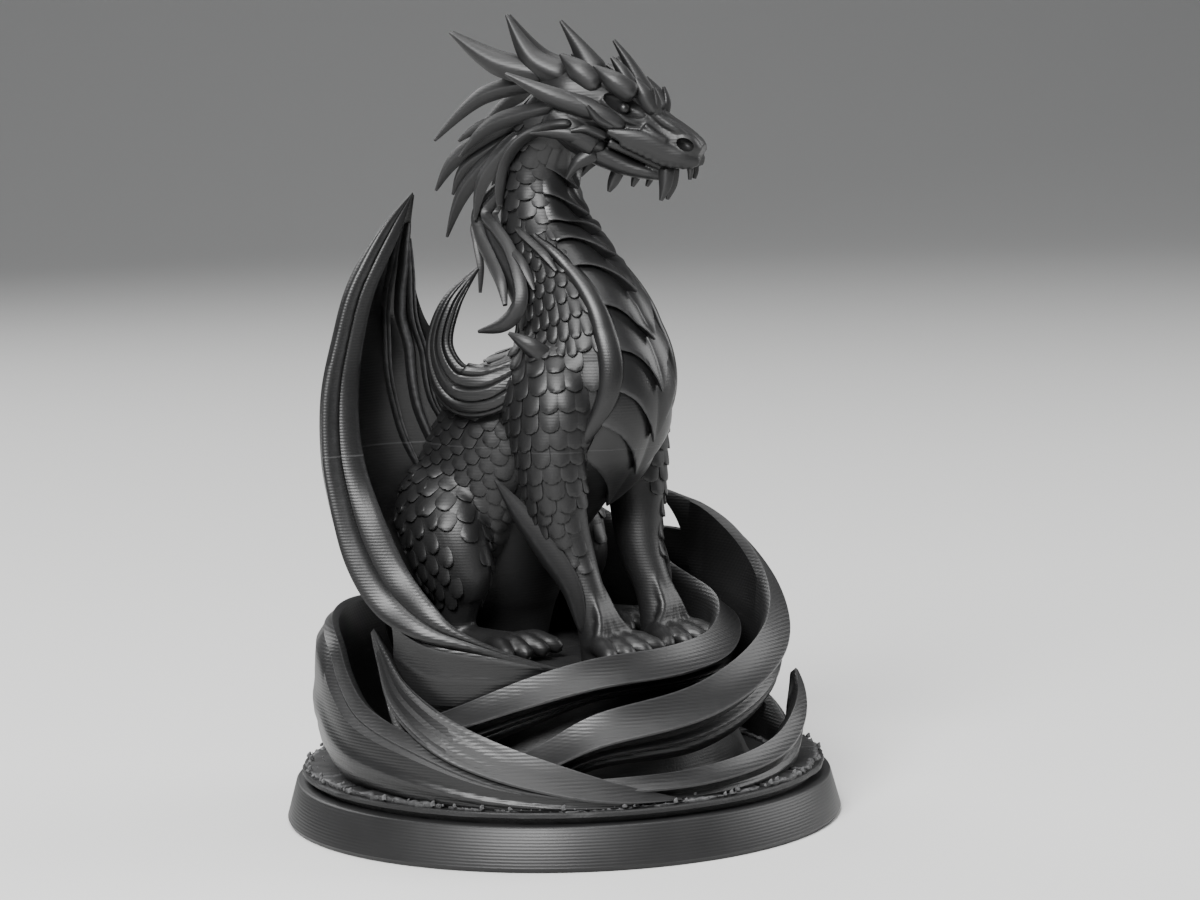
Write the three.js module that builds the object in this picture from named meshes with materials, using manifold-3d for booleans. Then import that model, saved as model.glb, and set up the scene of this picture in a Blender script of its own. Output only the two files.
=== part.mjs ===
// A seated dragon statuette on a round plinth, in millimetres, +Z up.
// The dragon faces -Y and its right side is -X. The origin is the centre of the plinth's underside.
// Two pieces: the plain tapered plinth, and the statue, which is one body with its nest and stone floor.
import * as THREE from "three";
import { mergeVertices } from "three/addons/utils/BufferGeometryUtils.js";
import Module from "manifold-3d";

const wasm = await Module();
wasm.setup();

// Driving dimensions
const PLINTH = { footRadius: 30, topRadius: 28.9, height: 4.5, footLip: 0.5, sides: 44 };
const FLOOR = { recessRadius: 27.2, recess: 0.8, rimRadius: 28.4, slabTop: 5.8, stoneTop: 6.45, sides: 28 };
const STONES = { count: 15, innerRadius: 22.8, outerRadius: 28.2, gap: 0.4 };
const SEAT = { top: 18.3, topRadius: 15.5, waistRadius: 17.5, footRadius: 20.5, sides: 14 };
const TOE = { length: 3.7, radius: 1.2, headings: [-36, 0, 36] };
const FORE_PAW = [4.9, -10.8, 19.6];
const HIND_PAW = [10.2, -1.2, 19.6];
const TIP = 0.22; // half width of a printed point
const SHORT_SPIKE = 7; // spikes shorter than this are built in two steps
const WING_THICKNESS = 0.9;
const RAIL_THICKNESS = 2.0;
const WEB_DROP = 2.0; // how far the wing's web lies behind its rail
const PLATE_RISE = 0.85; // height of a belly plate's lower edge above the skin
const PLATE_REACH = 43; // widest angle of a belly plate from the middle line, in degrees
const BLACK = 0x141415;

// Tables: a row is a place along the piece, read by blend() as a smooth curve.
// Trunk, rump to skull: x, y, z, half width, half depth.
const TRUNK = [
  [0, 10.5, 17.0, 6.5, 6.5],
  [0, 10.5, 24.0, 8.0, 8.0],
  [0, 7.4, 32.0, 7.6, 8.4],
  [0, 1.8, 39.0, 7.2, 8.8],
  [0, -4.0, 46.0, 7.8, 9.5],
  [0, -4.2, 52.0, 6.9, 7.6],
  [0, -1.6, 58.0, 5.5, 5.6],
  [0, 0.8, 62.5, 4.4, 4.5],
  [0, 1.8, 67.0, 3.8, 3.9],
  [0, 1.2, 71.0, 3.7, 3.8],
  [0, -1.3, 75.0, 3.7, 3.9],
  [0.4, -4.2, 77.0, 3.2, 3.2],
];
// Right limbs: x, y, z, half width, half depth. The left ones are mirrored.
const FLANK = [
  [-3.0, 1.0, 51.0, 2.6, 3.4],
  [-4.8, 3.4, 45.0, 3.8, 6.0],
  [-5.4, 6.0, 38.5, 4.2, 7.0],
  [-5.8, 9.4, 32.0, 4.4, 7.0],
  [-5.6, 11.0, 26.0, 4.0, 6.0],
];
const FORELEG = [
  [-4.6, -2.0, 51.5, 2.6, 3.6],
  [-6.2, -4.0, 46.0, 3.7, 5.4],
  [-6.9, -5.0, 39.5, 3.3, 3.8],
  [-6.5, -5.6, 33.5, 2.7, 3.1],
  [-5.6, -6.7, 28.6, 2.2, 2.5],
  [-5.5, -8.5, 24.5, 1.9, 2.1],
  [-5.2, -9.6, 21.0, 2.1, 2.2],
  [-4.9, -10.6, 17.0, 2.8, 3.0],
];
const THIGH = [
  [-3.5, 13.0, 35.0, 4.0, 4.6],
  [-7.0, 11.0, 33.6, 4.4, 6.4],
  [-9.2, 8.2, 30.2, 4.0, 5.8],
  [-9.8, 6.0, 26.4, 3.0, 4.4],
  [-9.8, 5.4, 23.6, 1.9, 2.6],
];
const HIND_FOOT = [
  [-9.8, 5.0, 26.5, 2.2, 2.6],
  [-9.8, 6.2, 21.8, 1.9, 2.1],
  [-9.8, 5.0, 19.7, 1.9, 1.9],
  [-10.0, 1.8, 19.5, 2.2, 1.7],
  [-10.2, -1.4, 19.6, 2.8, 1.6],
];
const ELBOW_SPUR = [
  [-7.0, -8.9, 21.5, 0.7, 0.9],
  [-7.4, -8.0, 26.1, 0.8, 1.1],
  [-8.0, -5.7, 29.8, 0.9, 1.2],
  [-8.5, -2.3, 33.7, 0.8, 1.0],
  [-8.7, 1.0, 37.1, TIP, TIP],
];
// Ribbons of the nest: angle from +X in degrees, crest radius, crest height, face width, wall height.
const TAIL = [
  [100, 11.0, 32.0, 2.6, 14.0],
  [62, 15.5, 32.6, 3.0, 15.0],
  [28, 17.0, 30.6, 3.2, 13.0],
  [-8, 17.2, 25.4, 3.2, 8.0],
  [-45, 17.2, 22.2, 3.3, 5.0],
  [-72, 17.2, 20.8, 3.4, 3.4],
  [-100, 17.7, 20.2, 3.5, 2.2],
  [-128, 18.5, 19.9, 3.6, 2.0],
  [-150, 20.0, 18.2, 3.6, 2.6],
  [-172, 22.3, 14.9, 3.0, 3.0],
  [-190, 22.8, 12.0, 2.2, 3.0],
];
const RIGHT_FLAME = [
  [-160, 22.6, 8.8, 1.8, 1.4],
  [-146, 23.0, 11.8, 3.3, 2.6],
  [-130, 22.9, 15.0, 3.9, 3.0],
  [-101, 22.6, 17.0, 3.9, 4.4],
  [-67, 22.6, 21.0, 3.5, 5.8],
  [-49, 22.7, 23.6, 2.8, 8.5],
  [-34, 22.7, 26.4, 2.2, 10.5],
  [-19, 22.5, 29.4, 1.6, 12.5],
  [-7, 22.4, 31.2, 1.0, 12.0],
  [0, 22.3, 31.8, 0.7, 7.0],
  [7, 22.3, 32.4, 0.3, 0.4],
];
const LOW_FLAME = [
  [-147, 26.5, 6.9, 0.4, 0.7],
  [-134, 26.7, 8.5, 1.4, 2.2],
  [-108, 26.2, 9.0, 1.9, 2.8],
  [-80, 25.7, 10.2, 2.0, 4.2],
  [-64, 25.6, 12.2, 1.7, 5.0],
  [-52, 25.6, 13.9, 1.0, 3.0],
  [-46, 25.6, 14.8, 0.3, 0.5],
];
// The wall that carries the low end of the right wing.
const WING_WALL = [
  [-137, 17.2, 18.6, 0.3, 1.6],
  [-150, 18.9, 19.5, 0.3, 3.4],
  [-165, 20.6, 20.6, 0.4, 5.0],
  [-178, 22.2, 21.6, 0.4, 6.0],
  [-191, 22.4, 23.4, 0.4, 6.0],
];
const LEFT_FLAME = [
  [161, 22.9, 22.4, 0.5, 0.8],
  [168, 23.2, 20.3, 1.6, 4.0],
  [177, 23.8, 17.6, 3.2, 6.0],
  [190, 24.2, 14.7, 4.2, 5.6],
  [203, 24.7, 12.5, 4.2, 4.4],
  [219, 25.5, 10.2, 3.6, 2.6],
  [231, 26.4, 8.4, 2.4, 1.8],
  [242, 27.2, 6.9, 0.9, 0.7],
];
const BACK_FLAME = [
  [-42, 24.6, 8.6, 0.8, 2.0],
  [-15, 24.2, 13.0, 2.2, 4.6],
  [15, 23.2, 17.6, 3.0, 6.0],
  [45, 21.8, 20.8, 3.2, 7.5],
  [75, 20.6, 22.6, 2.8, 8.5],
  [105, 19.6, 22.8, 1.8, 6.0],
  [126, 19.0, 22.0, 0.4, 1.0],
];
const OUTER_WAVE = [
  [8, 25.0, 7.0, 0.6, 0.8],
  [32, 24.8, 11.5, 1.2, 5.0],
  [62, 24.4, 17.5, 1.3, 10.5],
  [95, 24.2, 22.0, 1.3, 15.0],
  [125, 24.4, 22.6, 1.3, 15.5],
  [147, 25.0, 21.2, 1.4, 14.0],
  [158, 25.5, 17.8, 1.5, 11.0],
  [168, 25.9, 15.0, 1.6, 8.0],
  [186, 26.2, 12.4, 1.6, 6.0],
  [204, 26.6, 9.8, 1.6, 3.6],
  [222, 27.0, 8.0, 1.2, 2.0],
  [236, 27.3, 6.9, 0.6, 0.8],
];
// Right wing from its low front end to its point: outer edge x, y, z, then the rail's inner edge, then the web's.
const WING = [
  [-13.5, -12.1, 18.4, -13.1, -11.4, 18.5, -12.6, -10.8, 17.2],
  [-17.2, -8.8, 19.7, -17.0, -7.8, 20.1, -15.4, -8.0, 16.5],
  [-20.4, -4.9, 21.0, -20.0, -3.5, 22.5, -16.3, -3.0, 16.0],
  [-23.2, -0.1, 22.2, -20.8, -0.6, 25.2, -15.0, 2.4, 16.5],
  [-24.1, 4.9, 24.5, -20.6, 3.6, 29.2, -11.0, 7.4, 18.5],
  [-24.8, 8.4, 29.7, -20.8, 6.7, 34.7, -7.5, 11.8, 23.0],
  [-24.7, 10.7, 37.0, -20.3, 9.3, 39.3, -7.5, 13.0, 31.0],
  [-24.2, 11.7, 41.5, -19.7, 10.7, 43.7, -7.4, 10.0, 37.5],
  [-23.2, 12.2, 47.0, -18.8, 11.4, 48.2, -6.8, 7.0, 43.0],
  [-21.6, 11.9, 52.5, -18.0, 11.3, 52.6, -7.4, 6.0, 48.0],
  [-19.6, 11.0, 58.1, -16.2, 10.1, 57.8, -9.4, 7.0, 54.0],
  [-16.2, 9.9, 63.9, -14.1, 9.3, 63.0, -11.0, 8.3, 61.5],
  [-12.1, 9.1, 67.6, -11.8, 9.2, 67.3, -11.6, 8.8, 66.8],
];
// Left wing: the same blade, folded closer behind the back and ending at the hip.
const FAR_WING = [
  [10.5, 14.2, 24.0, 10.1, 13.6, 23.5, 9.6, 13.0, 23.0],
  [18.0, 14.0, 29.0, 14.5, 13.4, 28.6, 9.4, 12.6, 28.0],
  [20.6, 13.4, 36.0, 16.1, 12.5, 35.6, 8.2, 10.8, 35.0],
  [20.4, 13.0, 44.0, 16.1, 11.4, 43.3, 7.4, 8.0, 42.0],
  [18.0, 12.2, 53.0, 14.7, 10.6, 52.0, 8.2, 7.4, 50.0],
  [13.6, 10.8, 60.0, 11.7, 9.7, 59.0, 9.0, 8.2, 57.5],
  [8.8, 9.4, 64.6, 8.7, 9.3, 64.3, 8.4, 9.1, 63.8],
];
// Curled inner finger of a wing, shoulder to point: x, y, z, half width, half depth.
const WING_FINGER = [
  [-6.4, -2.6, 49.2, 1.2, 1.8],
  [-9.3, 1.1, 46.8, 1.2, 2.7],
  [-10.6, 4.9, 47.2, 1.1, 2.9],
  [-11.0, 6.7, 51.2, 1.0, 1.8],
  [-10.0, 5.8, 55.8, 0.9, 1.2],
  [-7.5, 4.1, 59.4, TIP, TIP],
];
// Head in its own frame, snout along -Y: y, height of the middle, half width, half height.
const UPPER_HEAD = [
  [4.6, -1.4, 2.2, 2.2],
  [1.5, -0.6, 3.7, 3.5],
  [-2.5, 0.0, 3.6, 3.4],
  [-5.8, 0.0, 3.0, 2.9],
  [-8.8, -0.3, 2.7, 2.4],
  [-11.6, -0.1, 2.5, 2.1],
  [-13.7, 0.0, 1.6, 1.3],
];
const LOWER_JAW = [
  [1.0, -3.6, 3.2, 1.9],
  [-3.5, -4.3, 2.8, 1.5],
  [-7.0, -4.4, 2.2, 1.1],
  [-9.6, -4.0, 1.7, 0.9],
  [-11.3, -3.6, 1.0, 0.6],
];
const HEAD = { at: [0.6, -4.6, 77.0], yawDeg: 25, pitchDeg: 26 };
// Horns, scutes and teeth of the head's right side, in the head's frame:
// root x, y, z, bend x, y, z, point x, y, z, half width, half depth, fullness at the bend.
const HEAD_SPIKES = {
  rear_horn: [-1.2, 4.6, 0.6, -1.2, 10.4, -0.6, -0.5, 16.4, 0.1, 1.1, 1.45, 0.85],
  crown_horn: [-1.8, 2.4, 1.5, -1.6, 6.7, 1.5, -0.5, 11.5, 4.4, 1.15, 1.5, 0.85],
  rear_scute: [-2.8, -1.4, 1.9, -2.9, 1.4, 2.7, -2.4, 4.0, 3.4, 0.9, 1.35, 0.95],
  brow_scute: [-2.9, -5.2, 2.6, -3.3, -2.4, 3.1, -2.8, 0.1, 3.8, 0.8, 1.2, 0.95],
  front_scute: [-2.1, -7.7, 2.2, -2.5, -6.0, 3.3, -2.3, -4.4, 4.5, 0.75, 1.05, 0.9],
  cheek_horn: [-3.0, -3.0, -0.1, -4.2, 2.5, -0.7, -4.4, 8.1, -0.7, 0.8, 1.2, 0.85],
  cheek_plate: [-2.6, -6.4, 0.0, -3.6, -3.1, 0.1, -4.1, 1.4, 0.25, 0.6, 1.0, 1.0],
  jaw_horn: [-2.7, -4.4, -3.7, -3.8, -0.5, -3.6, -3.9, 3.2, -5.3, 0.75, 1.05, 0.9],
  low_fang: [-1.0, -10.8, -3.6, -1.4, -11.8, -4.5, -1.5, -12.1, -6.0, 0.5, 0.6, 0.8],
  high_fang: [-1.3, -12.6, -0.9, -1.6, -13.3, -3.0, -1.6, -13.6, -4.4, 0.4, 0.45, 0.8],
};
// Horns and spines that stand on the middle line of the head.
const RIDGE_SPIKES = {
  ridge_horn: [0, 0.1, 2.6, 0, 2.8, 4.5, 0, 6.0, 6.3, 1.1, 1.9, 0.5],
  snout_horn: [0, -6.2, 2.6, 0, -2.8, 5.3, 0, -0.1, 6.9, 0.9, 1.2, 0.56],
  chin_spine: [0, -6.3, -4.9, 0, -6.3, -6.7, 0, -6.3, -7.8, 0.6, 0.8, 0.75],
};
// Mane blades of the right side, written like the horns.
const MANE = [
  [-2.2, -0.6, 79.0, -3.0, 6.9, 77.4, -3.0, 13.8, 72.7, 0.8, 1.2, 1.0],
  [-3.2, -3.3, 76.4, -4.2, 4.4, 74.5, -4.2, 9.2, 71.0, 0.8, 1.15, 1.0],
  [-2.4, 2.6, 74.7, -3.0, 10.4, 71.0, -3.0, 13.8, 67.3, 0.8, 1.2, 1.0],
  [-2.6, 2.8, 73.4, -3.4, 9.1, 67.6, -3.2, 12.2, 62.3, 0.8, 1.3, 1.0],
  [-3.4, 1.4, 73.4, -4.6, 5.4, 68.8, -4.4, 7.1, 64.3, 0.8, 1.3, 1.0],
];
// Long locks that lie along the neck: x, y, z, half width, half depth.
const LOCKS = {
  collar: [
    [-3.4, -5.8, 74.6, 0.7, 0.55],
    [-4.2, -3.7, 74.4, 0.8, 0.6],
    [-4.5, 0.0, 73.0, 0.9, 0.65],
    [-4.4, 2.6, 70.5, 0.9, 0.65],
    [-4.2, 3.6, 67.7, 0.8, 0.6],
    [-3.9, 3.9, 65.9, 0.5, 0.4],
  ],
  nape: [
    [-2.2, 4.0, 68.4, 0.7, 0.9],
    [-3.0, 6.2, 65.2, 0.7, 1.3],
    [-4.0, 4.9, 62.6, 0.8, 1.7],
    [-5.1, 2.4, 60.2, 0.8, 1.8],
    [-6.1, 0.0, 57.8, 0.8, 1.6],
    [-6.8, -1.2, 55.4, 0.6, 1.0],
  ],
  outer: [
    [-2.4, 4.4, 68.5, 0.5, 0.6],
    [-3.2, 7.6, 65.2, 0.6, 0.75],
    [-4.2, 6.5, 62.6, 0.65, 0.85],
    [-5.4, 4.1, 60.2, 0.65, 0.85],
    [-6.6, 1.7, 57.9, 0.65, 0.75],
    [-7.5, 0.1, 55.8, 0.5, 0.5],
  ],
  inner: [
    [-2.6, 4.0, 68.0, 0.6, 0.7],
    [-3.4, 6.4, 65.1, 0.7, 0.8],
    [-4.5, 4.0, 62.8, 0.8, 0.85],
    [-5.5, 0.8, 60.3, 0.9, 0.9],
    [-6.2, -1.2, 57.8, 0.9, 0.85],
    [-6.8, -2.3, 55.4, 0.9, 0.75],
    [-7.0, -2.5, 53.1, 0.6, 0.4],
  ],
  hook: [
    [-6.0, -1.4, 57.2, 0.6, 0.7],
    [-7.2, -1.0, 55.8, 0.7, 1.05],
    [-7.9, 0.0, 54.6, 0.6, 0.95],
    [-8.3, 1.5, 53.5, 0.45, 0.6],
    [-8.6, 3.1, 52.8, TIP, TIP],
  ],
};
const SHOULDER_SPIKE = [-6.2, -6.6, 49.6, -8.9, -3.9, 51.6, -9.6, -1.8, 52.9, 1.0, 1.3, 0.75];
// Smooth straps that frame the belly plates, at even steps down the trunk: angle from the front, half width.
const STRAP = [
  [67, 0.4],
  [55, 0.65],
  [43.5, 0.8],
  [38, 1.0],
  [37, 1.25],
  [39.5, 1.25],
  [50, 0.7],
];
const STRAP_SPAN = [0.63, 0.35]; // where the straps start and end along the trunk
// Belly plates up the trunk: their lower edge on the middle line and at their ends, and the flare of their tip.
const PLATES = [
  [0.293, 0.338, 0.0],
  [0.337, 0.367, 0.0],
  [0.362, 0.393, 0.1],
  [0.392, 0.428, 0.4],
  [0.432, 0.478, 0.8],
  [0.482, 0.539, 1.0],
  [0.534, 0.59, 1.0],
  [0.578, 0.652, 0.9],
  [0.64, 0.728, 0.6],
  [0.74, 0.822, 0.4],
];

// Reads a table as one smooth curve through its rows; t runs from 0 to 1.
function blend(rows, t) {
  const last = rows.length - 1;
  const place = Math.min(Math.max(t, 0), 1) * last;
  const i = Math.min(Math.floor(place), last - 1);
  const f = place - i;
  const row = (k) => rows[Math.min(Math.max(k, 0), last)];
  return rows[0].map((_, c) => {
    const [a, b, d, e] = [row(i - 1)[c], row(i)[c], row(i + 1)[c], row(i + 2)[c]];
    const bend = (2 * a - 5 * b + 4 * d - e) * f * f + (3 * (b - d) + e - a) * f * f * f;
    return b + 0.5 * ((d - a) * f + bend);
  });
}

// A closed geometry over rings of equal length, its ends closed by fans, with its faces pointing out.
function skin(rings) {
  const count = rings[0].length;
  const points = rings.flat();
  const faces = [];
  for (let k = 0; k + 1 < rings.length; k++) {
    for (let i = 0; i < count; i++) {
      const a = k * count + i;
      const b = k * count + ((i + 1) % count);
      faces.push([a, b, b + count], [a, b + count, a + count]);
    }
  }
  for (const [ring, turn] of [[0, -1], [rings.length - 1, 1]]) {
    const middle = points.length;
    const centre = new THREE.Vector3();
    rings[ring].forEach((p) => centre.addScaledVector(p, 1 / count));
    points.push(centre);
    for (let i = 0; i < count; i++) {
      const a = ring * count + i;
      const b = ring * count + ((i + 1) % count);
      faces.push(turn > 0 ? [a, b, middle] : [b, a, middle]);
    }
  }
  const volume = faces.reduce((sum, [a, b, c]) => {
    return sum + points[a].dot(new THREE.Vector3().crossVectors(points[b], points[c]));
  }, 0);
  const index = faces.flatMap(([a, b, c]) => (volume < 0 ? [a, c, b] : [a, b, c]));
  const geometry = new THREE.BufferGeometry().setFromPoints(points);
  return geometry.setIndex(index);
}

// The place, sideways direction and outward direction at t along a table of x, y, z, half width, half depth.
function station(rows, t, sideways) {
  const step = 0.004;
  const here = blend(rows, t);
  const before = blend(rows, t - step);
  const after = blend(rows, t + step);
  const along = new THREE.Vector3(...after).sub(new THREE.Vector3(...before)).normalize();
  const side = sideways.clone().addScaledVector(along, -sideways.dot(along)).normalize();
  const out = new THREE.Vector3().crossVectors(along, side);
  return { at: new THREE.Vector3(...here), along, side, out, width: here[3], depth: here[4] };
}

// A point of a limb's skin: angle is measured from the outward direction towards the side.
function onLimb(rows, t, angle, sideways, rise = 0) {
  const s = station(rows, t, sideways);
  return s.at
    .clone()
    .addScaledVector(s.side, (s.width + rise) * Math.sin(angle))
    .addScaledVector(s.out, (s.depth + rise) * Math.cos(angle));
}

const ACROSS = new THREE.Vector3(1, 0, 0);

// A limb of oval section that follows a table.
function limb(rows, sides, steps, sideways = ACROSS) {
  const rings = [];
  for (let k = 0; k <= steps; k++) {
    const ring = [];
    for (let i = 0; i < sides; i++) {
      ring.push(onLimb(rows, k / steps, (2 * Math.PI * i) / sides, sideways));
    }
    rings.push(ring);
  }
  return skin(rings);
}

// A spike of diamond section that bends from its root through a middle place to a blunt point.
function spike(row) {
  const [rx, ry, rz, bx, by, bz, px, py, pz, width, depth, full] = row;
  const reach = Math.hypot(px - rx, py - ry, pz - rz);
  return limb(
    [
      [rx, ry, rz, width, depth],
      [bx, by, bz, width * full, depth * full],
      [px, py, pz, TIP, TIP],
    ],
    4,
    reach < SHORT_SPIKE ? 2 : 3,
  );
}

// A table mirrored to the dragon's left side, with the x columns named.
function mirror(rows, columns = [0]) {
  return rows.map((row) => row.map((v, c) => (columns.includes(c) ? -v : v)));
}

const SPIKE_X = [0, 3, 6];
const bothSpikes = (row) => [spike(row), spike(mirror([row], SPIKE_X)[0])];

// A ribbon of the nest: a sloping face under the crest, a grooved outer wall and an upright inner wall.
// The belly pushes the middle of the outer wall outwards.
function ribbon(rows, steps, thickness = 1.5, belly = 0) {
  const rings = [];
  for (let k = 0; k <= steps; k++) {
    const [degrees, radius, height, face, wall] = blend(rows, k / steps);
    const angle = THREE.MathUtils.degToRad(degrees);
    const fall = face * 0.72;
    const swell = belly * Math.min(1, wall / 8);
    const section = [
      [0, 0],
      [face * 0.7, -fall],
      [face * 0.22 + swell, -fall - wall * 0.36],
      [face * 0.4 + swell, -fall - wall * 0.5],
      [-0.1 * thickness, -fall - wall],
      [-thickness, -fall - wall],
      [-0.55 * Math.min(thickness, face), -0.5 * fall],
    ];
    rings.push(
      section.map(([outward, up]) => {
        const r = radius + outward;
        return new THREE.Vector3(r * Math.cos(angle), r * Math.sin(angle), height + up);
      }),
    );
  }
  return skin(rings);
}

// A wing blade: a double rail stands along the outer edge, and a thin web hangs behind it.
const RAIL_PROFILE = [[0, 0], [0.2, 0.5], [0.58, 0.3], [0.88, 0.6], [1, 0.35]];
// The web: places across it and the rise of its ribs.
const WEB_PROFILE = [[0.03, 0], [0.2, 0.75], [0.35, 0], [0.5, 0.75], [0.65, 0], [0.8, 0.75], [1, 0]];

// One wing section: its three edges, the front directions of rail and web, its size, and how far the web drops.
function wingSection(rows, t, hand) {
  const edge = (row, k) => new THREE.Vector3(...row.slice(3 * k, 3 * k + 3));
  const [here, after, before] = [t, t + 0.01, t - 0.01].map((place) => blend(rows, place));
  const [outer, crest, root] = [0, 1, 2].map((k) => edge(here, k));
  const rail = crest.clone().sub(outer);
  const web = root.clone().sub(crest);
  const ahead = (k) => edge(after, k).sub(edge(before, k));
  const railFront = new THREE.Vector3().crossVectors(rail, ahead(0)).normalize().multiplyScalar(hand);
  const webFront = new THREE.Vector3().crossVectors(web, ahead(1)).normalize().multiplyScalar(hand);
  const size = Math.min(1, (rail.length() + web.length()) / 9);
  const level = Math.max(0, railFront.dot(webFront)) ** 2;
  return { outer, crest, rail, web, railFront, webFront, size, level };
}

// A point over the rail: q runs from the outer edge to the rail's inner edge.
function onRail({ outer, rail, railFront, size }, q, rise) {
  return outer.clone().addScaledVector(rail, q).addScaledVector(railFront, rise * size);
}

// A point over the web: q runs from the rail to the inner edge.
function onWeb({ crest, web, webFront, size, level }, q, hollow, rise) {
  const drop = WEB_DROP * size + hollow * Math.sin(Math.PI * q) * Math.min(1, web.length() / 9);
  return crest.clone().addScaledVector(web, q).addScaledVector(webFront, rise * size - level * drop);
}

function wing(rows, steps, hand, hollow) {
  const rings = [];
  for (let k = 0; k <= steps; k++) {
    const section = wingSection(rows, k / steps, hand);
    const face = RAIL_PROFILE.map(([q, rise]) => onRail(section, q, rise));
    const back = [onRail(section, 0.1, -0.5 * RAIL_THICKNESS), onRail(section, 0.6, -RAIL_THICKNESS)];
    face.push(...WEB_PROFILE.map(([q, rise]) => onWeb(section, q, hollow, rise * section.level)));
    back.push(...[0.03, 0.35, 0.65, 1].map((q) => onWeb(section, q, hollow, -WING_THICKNESS)));
    rings.push([...face, ...back.reverse()]);
  }
  return skin(rings);
}

// The trunk's skin seen from the front: angle 0 is straight ahead and grows towards the dragon's left.
function onTrunk(t, degrees, rise) {
  return onLimb(TRUNK, t, THREE.MathUtils.degToRad(180 - degrees), ACROSS, rise);
}

// The strap beside the plates at a place of the trunk: its angle from the front and its half width.
function strapAt(t) {
  const [first, last] = STRAP_SPAN;
  const [degrees, half] = blend(STRAP, (first - t) / (first - last));
  return { degrees, half: t > first || t < last ? 0 : half };
}

// One ring of the trunk: a plate's edge in front, the straps beside it, plain flanks and back.
// The plate's edge hangs from its ends to a tip on the middle line.
function trunkRing(middle, ends, rise, flare = 0) {
  const { degrees, half } = strapAt(ends);
  const reach = Math.min(degrees, PLATE_REACH);
  const gap = 1.17 * degrees;
  const side = [
    [0.4 * reach, rise],
    [0.85 * reach, rise * 0.8],
    [degrees, 0.75 * half],
    [gap, 0.1 * half],
    [gap + 0.36 * (180 - gap), 0],
    [gap + 0.7 * (180 - gap), 0],
  ];
  const columns = [[0, rise + flare], ...side, [180, 0], ...side.map(([a, up]) => [-a, up]).reverse()];
  return columns.map(([angle, up]) => {
    const share = Math.min(1, Math.abs(angle) / reach);
    const level = middle + (ends - middle) * Math.sin((Math.PI / 2) * share ** 1.1);
    return onTrunk(level, angle, up);
  });
}

// The trunk with its belly plates: two rings at each plate's lower edge make the step.
function trunk() {
  const plain = (t) => trunkRing(t, t, 0);
  const lip = 0.004;
  const rings = [0, 0.07, 0.14, 0.21].map(plain);
  for (const [middle, ends, flare] of PLATES) {
    rings.push(trunkRing(middle, ends, 0.05), trunkRing(middle + lip, ends + lip, PLATE_RISE, flare));
  }
  rings.push(...[0.87, 0.93, 1].map(plain));
  return skin(rings);
}

// A toe with its claw, from the ball of the foot.
function toe(x, y, z, headingDeg) {
  const { length, radius } = TOE;
  const a = THREE.MathUtils.degToRad(headingDeg);
  const at = (d) => [x + Math.sin(a) * d, y - Math.cos(a) * d];
  return limb(
    [
      [...at(0), z + 0.2, radius, radius],
      [...at(length * 0.45), z + 0.5, radius * 1.05, radius],
      [...at(length * 0.8), z, radius * 0.9, radius * 0.85],
      [...at(length * 1.15), z - 0.7, TIP, TIP],
    ],
    4,
    3,
  );
}

// The toes of a paw on one side: hand is -1 for the dragon's right and 1 for its left.
function paw([x, y, z], hand) {
  return TOE.headings.map((heading) => toe(hand * x + heading * 0.055, y, z, heading * 0.7));
}

// Upper head or jaw from a table of y, middle height, half width, half height.
function headLoft(rows, sides, steps) {
  return limb(
    rows.map(([y, z, width, height]) => [0, y, z, width, height]),
    sides,
    steps,
  );
}

const headPose = new THREE.Matrix4()
  .makeTranslation(...HEAD.at)
  .multiply(new THREE.Matrix4().makeRotationZ(THREE.MathUtils.degToRad(HEAD.yawDeg)))
  .multiply(new THREE.Matrix4().makeRotationX(THREE.MathUtils.degToRad(HEAD.pitchDeg)));

function head() {
  const pieces = [headLoft(UPPER_HEAD, 8, 7), headLoft(LOWER_JAW, 6, 4)];
  for (const row of Object.values(HEAD_SPIKES)) pieces.push(...bothSpikes(row));
  for (const row of Object.values(RIDGE_SPIKES)) pieces.push(spike(row));
  return pieces.map((g) => g.applyMatrix4(headPose));
}

// Flat stones of the floor: wedges of uneven size and height with open joints between them.
function stones() {
  const { count, innerRadius, outerRadius, gap } = STONES;
  const step = (2 * Math.PI) / count;
  const edge = (k) => (k + 0.22 * Math.sin(2.4 * k)) * step;
  const pieces = [];
  for (let i = 0; i < count; i++) {
    const rise = FLOOR.stoneTop - 0.15 * (1 + Math.sin(5.1 * i));
    const rim = outerRadius - 0.15 * (1 + Math.sin(3.3 * i));
    const corners = [
      [rim, edge(i) + gap / rim],
      [rim, (edge(i) + edge(i + 1)) / 2],
      [rim, edge(i + 1) - gap / rim],
      [innerRadius, edge(i + 1) - gap / innerRadius],
      [innerRadius, edge(i) + gap / innerRadius],
    ];
    const ring = (z) => corners.map(([r, a]) => new THREE.Vector3(r * Math.cos(a), r * Math.sin(a), z));
    pieces.push(skin([ring(FLOOR.slabTop - 0.2), ring(rise)]));
  }
  return pieces;
}

// A turned solid from a profile of radius and height that starts and ends on the axis.
function turned(profile, sides) {
  const geometry = new THREE.LatheGeometry(
    profile.map(([r, z]) => new THREE.Vector2(r, z)),
    sides,
  );
  return geometry.rotateX(Math.PI / 2);
}

function floorSlab() {
  const base = PLINTH.height;
  return turned(
    [
      [0, base],
      [FLOOR.recessRadius, base],
      [FLOOR.recessRadius, base + FLOOR.recess],
      [FLOOR.rimRadius, base + FLOOR.recess],
      [FLOOR.rimRadius, FLOOR.slabTop],
      [0, FLOOR.slabTop],
    ],
    FLOOR.sides,
  );
}

function seat() {
  const z0 = FLOOR.slabTop - 0.4;
  return turned(
    [
      [0, z0],
      [SEAT.footRadius, z0],
      [SEAT.waistRadius, (z0 + SEAT.top) / 2],
      [SEAT.topRadius, SEAT.top],
      [0, SEAT.top],
    ],
    SEAT.sides,
  );
}

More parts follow.
